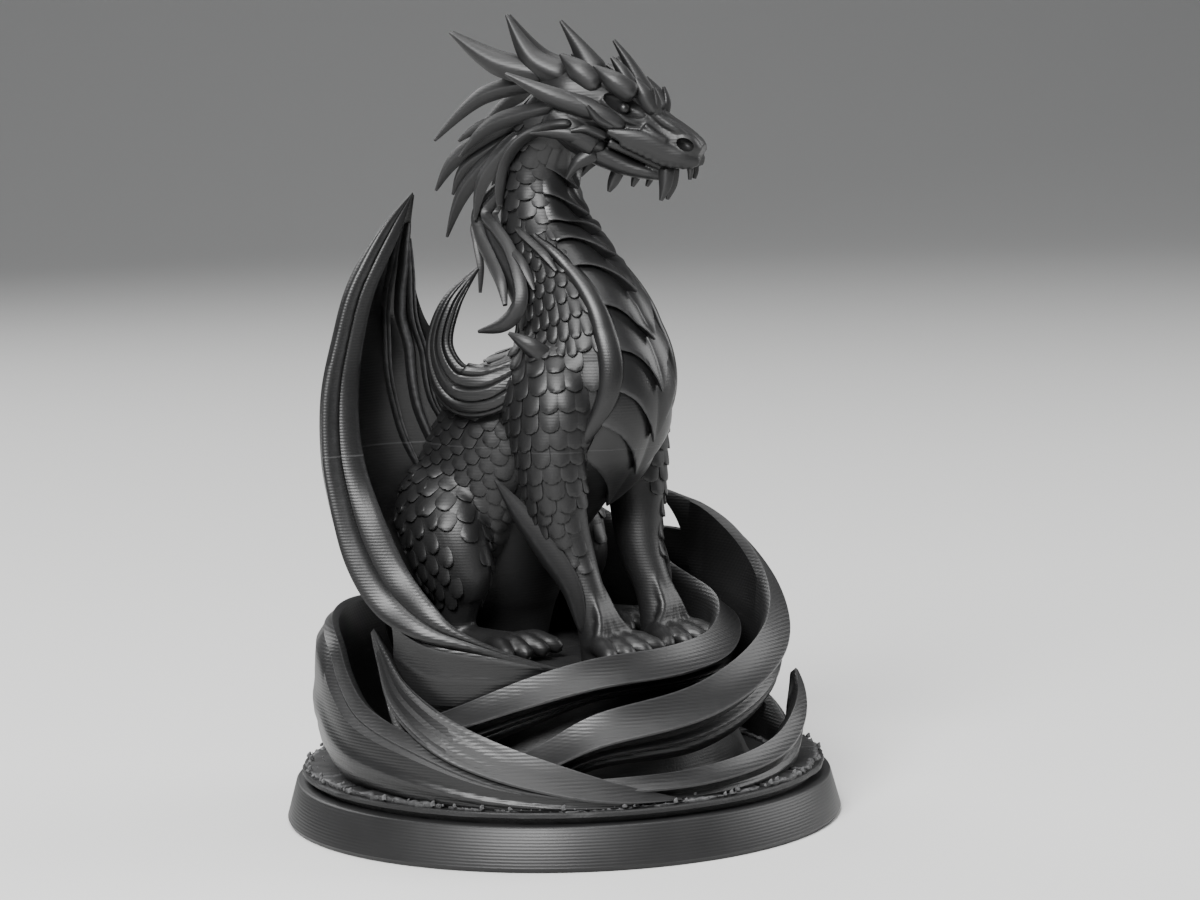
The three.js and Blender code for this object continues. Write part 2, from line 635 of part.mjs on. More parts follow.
function body() {
  const right = [FLANK, FORELEG, THIGH, HIND_FOOT, ELBOW_SPUR];
  const shapes = [[6, 4], [6, 8], [6, 4], [5, 4], [4, 4]];
  const limbs = right.flatMap((rows, i) => [limb(rows, ...shapes[i]), limb(mirror(rows), ...shapes[i])]);
  const toes = [FORE_PAW, HIND_PAW].flatMap((place) => [...paw(place, -1), ...paw(place, 1)]);
  return [trunk(), ...limbs, ...toes];
}

function nest() {
  return [
    seat(),
    ribbon(TAIL, 16, 1.8),
    ribbon(RIGHT_FLAME, 14),
    ribbon(LOW_FLAME, 7),
    ribbon(LEFT_FLAME, 8),
    ribbon(BACK_FLAME, 7),
    ribbon(OUTER_WAVE, 13, 1.7, 1.8),
    ribbon(WING_WALL, 5, 1.0),
  ];
}

function wings() {
  return [
    wing(WING, 15, 1, 3.0),
    wing(FAR_WING, 7, -1, 2.4),
    limb(WING_FINGER, 6, 7),
    limb(mirror(WING_FINGER), 6, 7),
  ];
}

function mane() {
  const right = Object.values(LOCKS).map((rows) => limb(rows, 4, 5));
  const left = [LOCKS.collar, LOCKS.nape, LOCKS.hook].map((rows) => limb(mirror(rows), 4, 5));
  return [...MANE.flatMap(bothSpikes), ...right, ...left, ...bothSpikes(SHOULDER_SPIKE)];
}

// A closed solid from a geometry, its shared vertices merged.
function solid(geometry) {
  const bare = new THREE.BufferGeometry();
  bare.setAttribute("position", geometry.getAttribute("position").clone());
  if (geometry.index) bare.setIndex(geometry.index);
  const merged = mergeVertices(bare, 1e-4);
  return new wasm.Manifold(
    new wasm.Mesh({
      numProp: 3,
      vertProperties: merged.attributes.position.array,
      triVerts: new Uint32Array(merged.index.array),
    }),
  );
}

function geometryOf(made) {
  const mesh = made.getMesh();
  return new THREE.BufferGeometry()
    .setAttribute("position", new THREE.BufferAttribute(mesh.vertProperties, 3))
    .setIndex(new THREE.BufferAttribute(mesh.triVerts, 1));
}

const plinthGeometry = turned(
  [
    [0, 0],
    [PLINTH.footRadius - 0.25, 0],
    [PLINTH.footRadius, PLINTH.footLip],
    [PLINTH.topRadius, PLINTH.height],
    [0, PLINTH.height],
  ],
  PLINTH.sides,
);

const pieces = [
  floorSlab(),
  ...stones(),
  ...nest(),
  ...body(),
  ...head(),
  ...wings(),
  ...mane(),
];
const statueSolid = pieces.map(solid).reduce((sum, next) => sum.add(next));

const plastic = () => new THREE.MeshStandardMaterial({ color: BLACK, roughness: 0.55, metalness: 0 });
const plinth = new THREE.Mesh(plinthGeometry, plastic());
plinth.name = "plinth";
const statue = new THREE.Mesh(geometryOf(statueSolid), plastic());
statue.name = "dragon_statue";

const part = new THREE.Group();
part.add(plinth, statue);
export default part;
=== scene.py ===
"""Dresses the seated dragon statuette: black printed plastic, finely carved, on its round plinth.

Tables are in millimetres, in the statue's own frame: it faces -Y and its right side is -X.
"""

import logging
import math
from dataclasses import dataclass
from enum import Enum
from typing import Any, Optional, Sequence, Union

import bpy
import numpy as np
from mathutils import Matrix, Vector, noise
from mathutils.bvhtree import BVHTree


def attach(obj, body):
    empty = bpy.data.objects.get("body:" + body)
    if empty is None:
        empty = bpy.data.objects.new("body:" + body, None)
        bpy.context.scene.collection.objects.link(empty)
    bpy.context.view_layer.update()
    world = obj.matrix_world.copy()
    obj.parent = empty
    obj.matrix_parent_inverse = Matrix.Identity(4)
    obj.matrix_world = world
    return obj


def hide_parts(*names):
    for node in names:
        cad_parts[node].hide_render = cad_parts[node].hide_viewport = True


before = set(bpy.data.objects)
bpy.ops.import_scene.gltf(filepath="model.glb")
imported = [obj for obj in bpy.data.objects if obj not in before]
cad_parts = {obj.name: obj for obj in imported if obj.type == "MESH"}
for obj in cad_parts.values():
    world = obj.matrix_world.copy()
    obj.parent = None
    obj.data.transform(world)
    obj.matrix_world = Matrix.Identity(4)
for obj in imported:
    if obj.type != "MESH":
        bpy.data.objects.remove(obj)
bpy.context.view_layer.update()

LOG = logging.getLogger("dragon_statuette")
MM = 0.001
TIP = 0.2  # half width of a printed point
ACROSS = np.array((1.0, 0.0, 0.0))
SPIKE_X = (0, 3, 6)  # the x columns of a spike's row
GROOVE_POWER = 14  # the higher, the narrower the grooves between flutes
HEEL_ROUND = 0.97  # how nearly a dome-shaped root closes
Table = Sequence[Sequence[float]]


class Side(Enum):
    """The dragon's own right and left; tables are written for the right."""

    RIGHT = 1.0
    LEFT = -1.0


def mirrored(rows: Table, side: Side, columns: Sequence[int] = (0,)) -> np.ndarray:
    """Turns a right-hand table into the one of a side.

    Args:
        rows: the table of the right side.
        side: the side that is wanted.
        columns: the columns that hold an x.

    Returns:
        A copy of the table for that side.
    """
    table = np.array(rows, float)
    table[:, list(columns)] *= side.value
    return table


def unit(vectors: np.ndarray) -> np.ndarray:
    """Returns the vectors at length one."""
    return vectors / np.maximum(np.linalg.norm(vectors, axis=-1, keepdims=True), 1e-9)


def blend(rows: Table, t: np.ndarray) -> np.ndarray:
    """Reads a table as one smooth curve through its rows.

    Args:
        rows: the table, one row a place.
        t: places along it, from 0 to 1.

    Returns:
        One row for each place.
    """
    table = np.asarray(rows, float)
    last = len(table) - 1
    place = np.clip(np.asarray(t, float), 0.0, 1.0) * last
    i = np.minimum(place.astype(int), last - 1)
    f = (place - i)[..., None]
    a, b, d, e = (table[np.clip(i + k, 0, last)] for k in (-1, 0, 1, 2))
    bend = (2 * a - 5 * b + 4 * d - e) * f**2 + (3 * (b - d) + e - a) * f**3
    return b + 0.5 * ((d - a) * f + bend)


@dataclass
class Stations:
    """Places along a limb with their directions and half sizes."""

    at: np.ndarray
    along: np.ndarray
    side: np.ndarray
    out: np.ndarray
    width: np.ndarray
    depth: np.ndarray

    @classmethod
    def read(cls, rows: Table, t: np.ndarray) -> "Stations":
        """Reads a table of x, y, z, half width and half depth.

        Args:
            rows: the limb's table.
            t: places along it, from 0 to 1.

        Returns:
            The stations at those places.
        """
        step = 0.004
        here = blend(rows, t)
        along = unit(blend(rows, t + step)[..., :3] - blend(rows, t - step)[..., :3])
        side = unit(ACROSS - along * (along @ ACROSS)[..., None])
        return cls(here[..., :3], along, side, np.cross(along, side), here[..., 3:4], here[..., 4:5])

    def skin(self, angle: np.ndarray, rise: Union[float, np.ndarray] = 0.0,
             power: float = 1.0) -> np.ndarray:
        """Finds points of the skin.

        Args:
            angle: radians from the outward direction towards the side.
            rise: height above the skin.
            power: 1 for an oval section, 2 for a diamond.

        Returns:
            One point for each angle.
        """
        cos, sin = np.cos(angle)[..., None], np.sin(angle)[..., None]
        cos = np.sign(cos) * np.abs(cos) ** power
        sin = np.sign(sin) * np.abs(sin) ** power
        lift = np.asarray(rise)[..., None] if np.ndim(rise) else rise
        return self.at + self.side * (self.width + lift) * sin + self.out * (self.depth + lift) * cos


def limb_rings(rows: Table, sides: int, steps: int, power: float = 1.0, flutes: int = 0,
               flute_depth: float = 0.0, heel: float = 0.0) -> np.ndarray:
    """Makes the rings of a limb.

    Args:
        rows: x, y, z, half width, half depth.
        sides: points in a ring.
        steps: stretches along the limb.
        power: 1 for an oval section, 2 for a diamond.
        flutes: number of bands round the limb.
        flute_depth: depth of the grooves between them.
        heel: share of the length over which the root swells out of a dome, or 0 for a flat root.

    Returns:
        Points, one row a ring.
    """
    t = np.repeat(np.linspace(0, 1, steps + 1)[:, None], sides, 1)
    angle = np.repeat((2 * np.pi * np.arange(sides) / sides)[None, :], steps + 1, 0)
    stations = Stations.read(rows, t)
    fade = np.sin(np.pi * np.clip(t * 1.1, 0, 1)) ** 0.5
    groove = np.abs(np.cos(0.5 * flutes * angle)) ** GROOVE_POWER if flutes else 0 * angle
    rings = stations.skin(angle, -flute_depth * fade * groove, power)
    if heel:
        dome = np.sqrt(1 - (HEEL_ROUND * (1 - np.clip(t / heel, 0, 1))) ** 2)
        rings = stations.at + (rings - stations.at) * dome[..., None]
    return rings


def spike_rows(row: Sequence[float]) -> list[list[float]]:
    """Turns a spike's row into a limb's table.

    Args:
        row: root, bend, point, half width, half depth, fullness at the bend.

    Returns:
        Three rows of x, y, z, half width and half depth.
    """
    width, depth, full = row[9:12]
    return [
        [*row[0:3], width, depth],
        [*row[3:6], full * width, full * depth],
        [*row[6:9], TIP, TIP],
    ]


def grit(point: Sequence[float], size: float, seed: float = 0.0) -> float:
    """Returns smooth noise between about -1 and 1 for a point, with lumps of the given size."""
    return noise.noise(Vector((point[0] / size + seed, point[1] / size, point[2] / size)))


def select_only(piece: bpy.types.Object) -> None:
    """Makes one piece the only selected and the active one.

    Args:
        piece: the piece that the next operators act on.
    """
    bpy.ops.object.select_all(action="DESELECT")
    piece.select_set(True)
    bpy.context.view_layer.objects.active = piece


def modify(piece: bpy.types.Object, kind: str, **settings: Any) -> None:
    """Adds a modifier to a piece and applies it.

    Args:
        piece: the piece to change.
        kind: the modifier's type.
        settings: the modifier's values.
    """
    select_only(piece)
    bpy.ops.object.modifier_add(type=kind)
    modifier = piece.modifiers[-1]
    for key, value in settings.items():
        setattr(modifier, key, value)
    bpy.ops.object.modifier_apply(modifier=modifier.name)


class Carver:
    """Gathers closed shells, in millimetres, and joins them into one object."""

    def __init__(self) -> None:
        """Starts with nothing."""
        self._points: list[np.ndarray] = []
        self._pale_wear_and_highlight: list[np.ndarray] = []
        self._faces: list[tuple[int, ...]] = []
        self._count = 0

    def tube(self, rings: np.ndarray, pale_wear_and_highlight: Union[float, np.ndarray] = 0.0) -> None:
        """Adds a closed shell over rings of equal length, its faces pointing out.

        Args:
            rings: points, one row a ring.
            pale_wear_and_highlight: how pale each point is painted, from 0 to 1, as painted highlight along
                with wearing.
        """
        steps, sides = rings.shape[:2]
        k = np.arange(steps - 1)[:, None] * sides
        i = np.arange(sides)[None, :]
        j = (i + 1) % sides
        corners = np.broadcast_arrays(k + i, k + j, k + j + sides, k + i + sides)
        faces = [tuple(quad) for quad in np.stack(corners, -1).reshape(-1, 4).tolist()]
        faces.append(tuple(range(sides - 1, -1, -1)))
        faces.append(tuple(range((steps - 1) * sides, steps * sides)))
        points = rings.reshape(-1, 3)
        if self._volume(points, faces) < 0:
            faces = [face[::-1] for face in faces]
        self._faces.extend(tuple(v + self._count for v in face) for face in faces)
        self._points.append(points)
        self._pale_wear_and_highlight.append(np.broadcast_to(pale_wear_and_highlight, (steps, sides)).reshape(-1))
        self._count += len(points)

    @staticmethod
    def _volume(points: np.ndarray, faces: list[tuple[int, ...]]) -> float:
        """Measures a closed shell.

        Args:
            points: its points.
            faces: its faces.

        Returns:
            Six times its volume, negative if its faces point in.
        """
        centred = points - points.mean(0)
        fans = [(face[0], face[n], face[n + 1]) for face in faces for n in range(1, len(face) - 1)]
        a, b, c = centred[np.array(fans).T]
        return float(np.einsum("ij,ij->", a, np.cross(b, c)))

    def to_object(self, name: str) -> bpy.types.Object:
        """Joins all the shells.

        Args:
            name: the new object's name.

        Returns:
            The object, at the origin.
        """
        mesh = bpy.data.meshes.new(name)
        mesh.from_pydata((np.concatenate(self._points) * MM).tolist(), [], self._faces)
        # per-point paleness: painted highlight on rims, ridges and crests, along with pale wearing and white
        # crumbs
        pale = mesh.attributes.new("pale_wear_and_highlight", "FLOAT", "POINT")
        pale.data.foreach_set("value", np.concatenate(self._pale_wear_and_highlight).astype(np.float32))
        piece = bpy.data.objects.new(name, mesh)
        bpy.context.scene.collection.objects.link(piece)
        return piece


def ridge_wear_and_highlight(steps: int, sides: int, amount: float) -> np.ndarray:
    """Works out the paleness on the four edges of a diamond section and on its point: painted highlight
    along with wearing.

    Args:
        steps: stretches along the limb.
        sides: points in a ring.
        amount: how pale the edges are painted, as highlight along with wearing.

    Returns:
        One value for each point of the rings.
    """
    pale_wear_and_highlight = np.zeros((steps + 1, sides))
    pale_wear_and_highlight[:, :: sides // 4] = amount
    pale_wear_and_highlight[-2:] = amount
    return pale_wear_and_highlight


def add_spike(carver: Carver, row: Sequence[float], pose: Optional[Matrix] = None, steps: int = 20,
              power: float = 1.4, edge_wear_and_highlight: float = 0.4) -> None:
    """Adds one horn, blade, tooth or claw.

    Args:
        carver: takes the shell.
        row: root, bend, point, half width, half depth, fullness at the bend.
        pose: turns and moves the spike from its own frame.
        steps: stretches along it.
        power: 1 for a round section, 2 for a sharp diamond.
        edge_wear_and_highlight: how pale its edges are painted, as highlight along with wearing.
    """
    sides = 16
    rings = limb_rings(spike_rows(row), sides, steps, power, heel=0.2)
    carver.tube(posed(rings, pose), ridge_wear_and_highlight(steps, sides, edge_wear_and_highlight))


def posed(rings: np.ndarray, pose: Optional[Matrix]) -> np.ndarray:
    """Moves points by a pose.

    Args:
        rings: the points.
        pose: where they go, or nothing to leave them.

    Returns:
        The moved points.
    """
    if pose is None:
        return rings
    table = np.array(pose)
    return rings @ table[:3, :3].T + table[:3, 3]


class NodeSheet:
    """A material's nodes, each added and linked in one call."""

    def __init__(self, name: str) -> None:
        """Opens a new material with an empty sheet.

        Args:
            name: the material's name.
        """
        self.material = bpy.data.materials.new(name)
        self.material.use_nodes = True
        self.tree = self.material.node_tree
        self.tree.nodes.clear()

    def add(self, kind: str, inputs: Optional[dict[Union[str, int], Any]] = None,
            **settings: Any) -> bpy.types.Node:
        """Adds a node.

        Args:
            kind: the node's type.
            inputs: a value, or another node's output, for each named input.
            settings: the node's own values.

        Returns:
            The new node.
        """
        node = self.tree.nodes.new(kind)
        for key, value in settings.items():
            setattr(node, key, value)
        for key, value in (inputs or {}).items():
            if isinstance(value, bpy.types.NodeSocket):
                self.tree.links.new(value, node.inputs[key])
            else:
                node.inputs[key].default_value = value
        return node

    def sum(self, first: Any, second: Any, operation: str = "ADD") -> bpy.types.NodeSocket:
        """Returns the result of one sum of two values or outputs."""
        return self.add("ShaderNodeMath", {0: first, 1: second}, operation=operation).outputs[0]


MIX_FIRST, MIX_SECOND, MIX_RESULT = 6, 7, 2  # the colour sockets of a mix node
WAVE_TURN = 0.1 * math.pi  # a wave texture of scale 1 repeats at this distance
DARK_TINT = (0.7, 0.7, 0.72)
LIGHT_TINT = (1.3, 1.3, 1.33)
PALE_TINT = (1.0, 1.0, 1.02)


def tinted(tone: float, tint: Sequence[float]) -> tuple[float, ...]:
    """Returns a grey of the given tone with a slight tint, as a colour."""
    return (*(tone * share for share in tint), 1.0)


@dataclass(frozen=True)
class PrintedPlastic:
    """Black printed plastic: layer lines, fine grain, pale edges as painted highlight along with wearing,
    and one pause in the print.
    """

    name: str
    tone: float = 0.008
    # colour of the pale edges, painted highlight along with wearing, and of the pause line
    pale_tone: float = 0.05
    roughness: float = 0.4
    shine: float = 0.4
    gloss_spread: float = 0.07
    cloud_scale: float = 170.0
    blotch_scale: float = 1400.0
    grain_scale: float = 4200.0
    layer_pitch: float = 0.00032
    layer_depth: float = 0.000007
    hatch_depth: float = 0.0
    grain_depth: float = 0.000007
    pause_height: float = 0.0405
    pause_width: float = 0.00008
    pause_depth: float = 0.00006
    pause_paleness: float = 0.25

    def material(self) -> bpy.types.Material:
        """Makes the finish once.

        Returns:
            The finish as a material.
        """
        made = bpy.data.materials.get(self.name)
        if made:
            return made
        sheet = NodeSheet(self.name)
        place = sheet.add("ShaderNodeTexCoord").outputs["Object"]
        pause = self._pause(sheet, place)
        cloudy = {"Vector": place, "Scale": self.cloud_scale, "Detail": 4.0}
        clouds = sheet.add("ShaderNodeTexNoise", cloudy).outputs["Fac"]
        shader = sheet.add("ShaderNodeBsdfPrincipled", {
            "Base Color": self._colour(sheet, place, clouds, pause),
            "Roughness": self._gloss(sheet, clouds),
            "Specular IOR Level": self.shine,
            "Normal": self._relief(sheet, place, pause),
        })
        sheet.add("ShaderNodeOutputMaterial", {"Surface": shader.outputs["BSDF"]})
        return sheet.material

    def _pause(self, sheet: NodeSheet, place: bpy.types.NodeSocket) -> bpy.types.NodeSocket:
        """Finds the thin line where the print paused.

        Args:
            sheet: takes the nodes.
            place: where the surface is.

        Returns:
            1 on the line and 0 elsewhere.
        """
        height = sheet.add("ShaderNodeSeparateXYZ", {"Vector": place}).outputs["Z"]
        away = sheet.sum(sheet.sum(height, self.pause_height, "SUBTRACT"), 0.0, "ABSOLUTE")
        return sheet.sum(away, self.pause_width, "LESS_THAN")

    def _colour(self, sheet: NodeSheet, place: bpy.types.NodeSocket, clouds: bpy.types.NodeSocket,
                pause: bpy.types.NodeSocket) -> bpy.types.NodeSocket:
        """Mixes the black, cloudy all over, paler on edges as painted highlight along with wearing, and
        paler on the pause.

        Args:
            sheet: takes the nodes.
            place: where the surface is.
            clouds: broad noise.
            pause: 1 where the print paused.

        Returns:
            The colour.
        """
        # the edge attribute paints highlight where light would catch rims and crests, mixed with pale
        # wearing; blotchy noise makes it uneven
        pale_wear_and_highlight = sheet.add("ShaderNodeAttribute", attribute_name="pale_wear_and_highlight").outputs["Fac"]
        uneven = {"Vector": place, "Scale": self.blotch_scale, "Detail": 2.0}
        blotches = sheet.add("ShaderNodeTexNoise", uneven).outputs["Fac"]
        faint = sheet.sum(pause, self.pause_paleness, "MULTIPLY")
        pale = sheet.sum(sheet.sum(pale_wear_and_highlight, blotches, "MULTIPLY"), faint)
        first, second = tinted(self.tone, DARK_TINT), tinted(self.tone, LIGHT_TINT)
        black = {"Factor": clouds, MIX_FIRST: first, MIX_SECOND: second}
        dark = sheet.add("ShaderNodeMix", black, data_type="RGBA").outputs[MIX_RESULT]
        pale_and_highlit = {"Factor": pale, MIX_FIRST: dark, MIX_SECOND: tinted(self.pale_tone, PALE_TINT)}
        return sheet.add("ShaderNodeMix", pale_and_highlit, data_type="RGBA").outputs[MIX_RESULT]

    def _gloss(self, sheet: NodeSheet, clouds: bpy.types.NodeSocket) -> bpy.types.NodeSocket:
        """Makes the gloss a little uneven.

        Args:
            sheet: takes the nodes.
            clouds: broad noise.

        Returns:
            The roughness.
        """
        low, high = self.roughness - self.gloss_spread, self.roughness + self.gloss_spread
        spread = {"Value": clouds, "To Min": low, "To Max": high}
        return sheet.add("ShaderNodeMapRange", spread).outputs["Result"]

    def _relief(self, sheet: NodeSheet, place: bpy.types.NodeSocket,
                pause: bpy.types.NodeSocket) -> bpy.types.NodeSocket:
        """Works the grain, the layers, the hatch and the pause into the surface.

        Args:
            sheet: takes the nodes.
            place: where the surface is.
            pause: 1 where the print paused.

        Returns:
            The normal.
        """
        scale = WAVE_TURN / self.layer_pitch
        bands = {"Vector": place, "Scale": scale, "Distortion": 0.5, "Detail": 1.0}
        layers = sheet.add("ShaderNodeTexWave", bands, bands_direction="Z").outputs["Fac"]
        grain = sheet.add("ShaderNodeTexNoise", {"Vector": place, "Scale": self.grain_scale}).outputs["Fac"]
        steps = [(grain, self.grain_depth), (layers, self.layer_depth), (pause, self.pause_depth)]
        if self.hatch_depth:
            slant = {**bands, "Scale": 0.8 * scale, "Distortion": 0.2}
            hatch = sheet.add("ShaderNodeTexWave", slant, bands_direction="DIAGONAL").outputs["Fac"]
            steps.append((hatch, self.hatch_depth))
        normal = None
        for height, depth in steps:
            inputs = {"Height": height, "Distance": depth, "Strength": 1.0}
            if normal:
                inputs["Normal"] = normal
            normal = sheet.add("ShaderNodeBump", inputs).outputs["Normal"]
        return normal


SMOOTH_SKIN = PrintedPlastic("skin_plastic", roughness=0.46, layer_depth=0.000006)
CARVED = PrintedPlastic("carved_plastic", roughness=0.46, layer_depth=0.000004)
MATT = PrintedPlastic("matt_plastic", roughness=0.65, shine=0.2)
POLISHED = PrintedPlastic("plate_plastic", roughness=0.36, layer_depth=0.000004)
RIBBON = PrintedPlastic("ribbon_plastic", tone=0.009, layer_depth=0.000011, hatch_depth=0.000005)
# pale_tone raised for the ribs' crests: painted highlight along with wearing
WING_SKIN = PrintedPlastic("wing_plastic", pale_tone=0.1, layer_depth=0.000009)
# pale_tone: colour of the white crumbs and of the stones' pale edges, the edges painted highlight along with
# wearing
ROUGH_STONE = PrintedPlastic(
    "stone_plastic", tone=0.01, pale_tone=0.14, roughness=0.55, grain_depth=0.00004,
)
# tone a little lighter than the statue's black: painted light, the plinth shown as more strongly lit
TURNED_BASE = PrintedPlastic("plinth_plastic_painted_lighter", tone=0.011, roughness=0.46, layer_depth=0.000012)


class Assembly:
    """The last steps that every sub-assembly shares."""

    slot = "statue_plastic"

    def dress(self, piece: bpy.types.Object, finish: PrintedPlastic, replaces: str = "",
              crease: float = 38.0) -> bpy.types.Object:
        """Gives a piece its finish, its shading and its place in the frame.

        Args:
            piece: the finished mesh.
            finish: the plastic it is printed in.
            replaces: the solid that it stands for, if it does.
            crease: edges sharper than this many degrees stay crisp.

        Returns:
            The same piece.
        """
        piece.data.materials.clear()
        piece.data.materials.append(finish.material())
        select_only(piece)
        bpy.ops.object.shade_smooth_by_angle(angle=math.radians(crease))
        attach(piece, "root")
        if replaces:
            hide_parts(replaces)
        corners = sum(len(face.vertices) - 2 for face in piece.data.polygons)
        LOG.info("%s: %d triangles", piece.name, corners)
        return piece


def turned(name: str, profile: Table, sides: int) -> bpy.types.Object:
    """Turns a solid by drawing a disc up and scaling its top at each step.

    Args:
        name: the piece's name.
        profile: radius and height of each step, from the underside.
        sides: sides of the disc.

    Returns:
        The closed solid, at the origin.
    """
    radius, height = profile[0]
    bpy.ops.object.select_all(action="DESELECT")
    bpy.ops.mesh.primitive_circle_add(vertices=sides, radius=radius * MM, fill_type="NGON")
    piece = bpy.context.object
    piece.name = name
    bpy.ops.object.mode_set(mode="EDIT")
    bpy.ops.mesh.select_all(action="SELECT")
    bpy.ops.transform.translate(value=(0, 0, height * MM))
    for next_radius, next_height in profile[1:]:
        lift = (0, 0, (next_height - height) * MM)
        bpy.ops.mesh.extrude_region_move(TRANSFORM_OT_translate={"value": lift})
        grow = next_radius / radius
        bpy.ops.transform.resize(value=(grow, grow, 1), center_override=(0, 0, next_height * MM))
        radius, height = next_radius, next_height
    bpy.ops.mesh.select_all(action="SELECT")
    bpy.ops.mesh.normals_make_consistent(inside=False)
    bpy.ops.object.mode_set(mode="OBJECT")
    return piece


@dataclass
class Plinth(Assembly):
    """The plain tapered disc under the statue."""

    slot = "plinth_plastic"
    foot_radius: float = 30.0
    top_radius: float = 28.9
    height: float = 4.5
    foot_lip: float = 0.5
    foot_inset: float = 0.25
    edge: float = 0.18
    sides: int = 180

    def build(self) -> bpy.types.Object:
        """Turns the plinth with eased edges.

        Returns:
            The plinth's disc.
        """
        top = self.top_radius
        profile = [
            (self.foot_radius - self.foot_inset, 0.0),
            (self.foot_radius, self.foot_lip),
            (top + self.edge * 0.3, self.height - self.edge),
            (top - self.edge * 0.3, self.height - self.edge * 0.25),
            (top - self.edge, self.height),
        ]
        return turned("plinth_disc", profile, self.sides)


@dataclass
class StoneFloor(Assembly):
    """The slab on the plinth, with flat stones set round it and the rock that the dragon sits on.

    Sines of uneven multiples stand for chance, so each run gives the same floor.
    """

    base: float = 4.5
    recess_radius: float = 27.2
    recess: float = 0.8
    rim_radius: float = 28.4
    rim_edge: float = 0.15
    rim_ragged: float = 0.006
    slab_top: float = 5.8
    stone_top: float = 6.45
    count: int = 15
    inner_radius: float = 22.8
    outer_radius: float = 28.2
    gap: float = 0.4
    joint_sway: float = 0.22
    unevenness: float = 0.15
    stone_points: int = 30
    # paleness of each level of a stone's rings: painted highlight on the top edge along with wearing
    stone_wear_and_highlight: tuple[float, ...] = (0.0, 0.6, 1.2, 0.15)
    crumb_count: int = 330
    crumb_size: tuple[float, float] = (0.05, 0.2)
    crumb_band: float = 3.5
    rock_top: float = 18.3
    rock_radii: tuple[float, float, float] = (20.5, 17.5, 15.5)
    sides: int = 160

    def slab(self) -> bpy.types.Object:
        """Turns the slab, stepped in over the plinth and ragged at its rim.

        Returns:
            The slab.
        """
        lip = self.base + self.recess
        profile = [
            (self.recess_radius, self.base),
            (self.recess_radius, lip),
            (self.rim_radius, lip),
            (self.rim_radius, self.slab_top - self.rim_edge),
            (self.rim_radius - self.rim_edge, self.slab_top),
        ]
        piece = turned("floor_slab", profile, self.sides)
        for vertex in piece.data.vertices:
            if math.hypot(vertex.co.x, vertex.co.y) > (self.recess_radius + 0.3) * MM:
                ragged = 1 - self.rim_ragged * (1 + grit(vertex.co / MM, 1.1))
                vertex.co.x *= ragged
                vertex.co.y *= ragged
        return piece

    def stones(self) -> bpy.types.Object:
        """Sets the ring of uneven wedges, with broken edges and open joints.

        Returns:
            All the stones as one object.
        """
        carver = Carver()
        step = 2 * math.pi / self.count
        joints = [(k + self.joint_sway * math.sin(2.4 * k)) * step for k in range(self.count + 1)]
        pale_wear_and_highlight = np.repeat(np.array(self.stone_wear_and_highlight)[:, None], 2 * self.stone_points, 1)
        for i in range(self.count):
            rise = self.stone_top - self.unevenness * (1 + math.sin(5.1 * i))
            rim = self.outer_radius - self.unevenness * (1 + math.sin(3.3 * i))
            carver.tube(self._stone(joints[i], joints[i + 1], rim, rise), pale_wear_and_highlight)
        return carver.to_object("floor_stones")

    def _stone(self, start: float, end: float, rim: float, rise: float) -> np.ndarray:
        """Cuts one wedge.

        Args:
            start: angle of its first joint.
            end: angle of its last joint.
            rim: its outer radius.
            rise: height of its top.

        Returns:
            Its rings, from its foot to its eased, broken top.
        """
        points = self.stone_points
        arc = np.linspace(0, 1, points)
        rings = []
        levels = ((0.0, self.slab_top - 0.2), (0.0, rise - 0.25), (0.12, rise - 0.08), (0.45, rise))
        for inset, height in levels:
            outer, inner = rim - inset, self.inner_radius + inset
            margin = self.gap + inset
            front = start + margin / outer + (end - start - 2 * margin / outer) * arc
            back = end - margin / inner - (end - start - 2 * margin / inner) * arc
            turn = np.concatenate([front, back])
            radius = np.concatenate([np.full(points, outer), np.full(points, inner)])
            ring = np.stack([radius * np.cos(turn), radius * np.sin(turn), np.full(2 * points, height)], -1)
            rings.append([self._broken(p, inset) for p in ring])
        return np.array(rings)

    def _broken(self, point: np.ndarray, inset: float) -> np.ndarray:
        """Moves a stone's point a little, as broken stone is.

        Args:
            point: the point of an even wedge.
            inset: how far its ring is drawn in.

        Returns:
            The moved point.
        """
        shove = 1 + 0.012 * (grit(point, 1.5, 5.0) - 0.6) + 0.012 * (grit(point, 0.45, 7.0) - 0.5)
        lift = 0.3 * grit(point, 0.8, 9.0) - 0.15 if inset else 0.0
        return np.array((point[0] * shove, point[1] * shove, point[2] + lift))

    def crumbs(self) -> bpy.types.Object:
        """Scatters the small broken bits that lie along the rim.

        Returns:
            All the crumbs as one object.
        """
        carver = Carver()
        for i in range(self.crumb_count):
            turn = 2 * math.pi * (i + 0.4 * math.sin(12.9 * i)) / self.crumb_count
            radius = self.outer_radius - 0.3 - self.crumb_band * math.sin(7.7 * i) ** 4
            size = self.crumb_size[0] + self.crumb_size[1] * math.sin(4.3 * i) ** 4
            x, y, z = radius * math.cos(turn), radius * math.sin(turn), self.stone_top - 0.4
            rows = [
                [x, y, z, size, size],
                [x, y + 0.3 * size, z + size, 1.3 * size, 0.9 * size],
                [x + 0.5 * size, y, z + 2.2 * size, 0.3 * size, 0.4 * size],
            ]
            carver.tube(limb_rings(rows, 6, 5), 0.9)
        return carver.to_object("floor_crumbs")

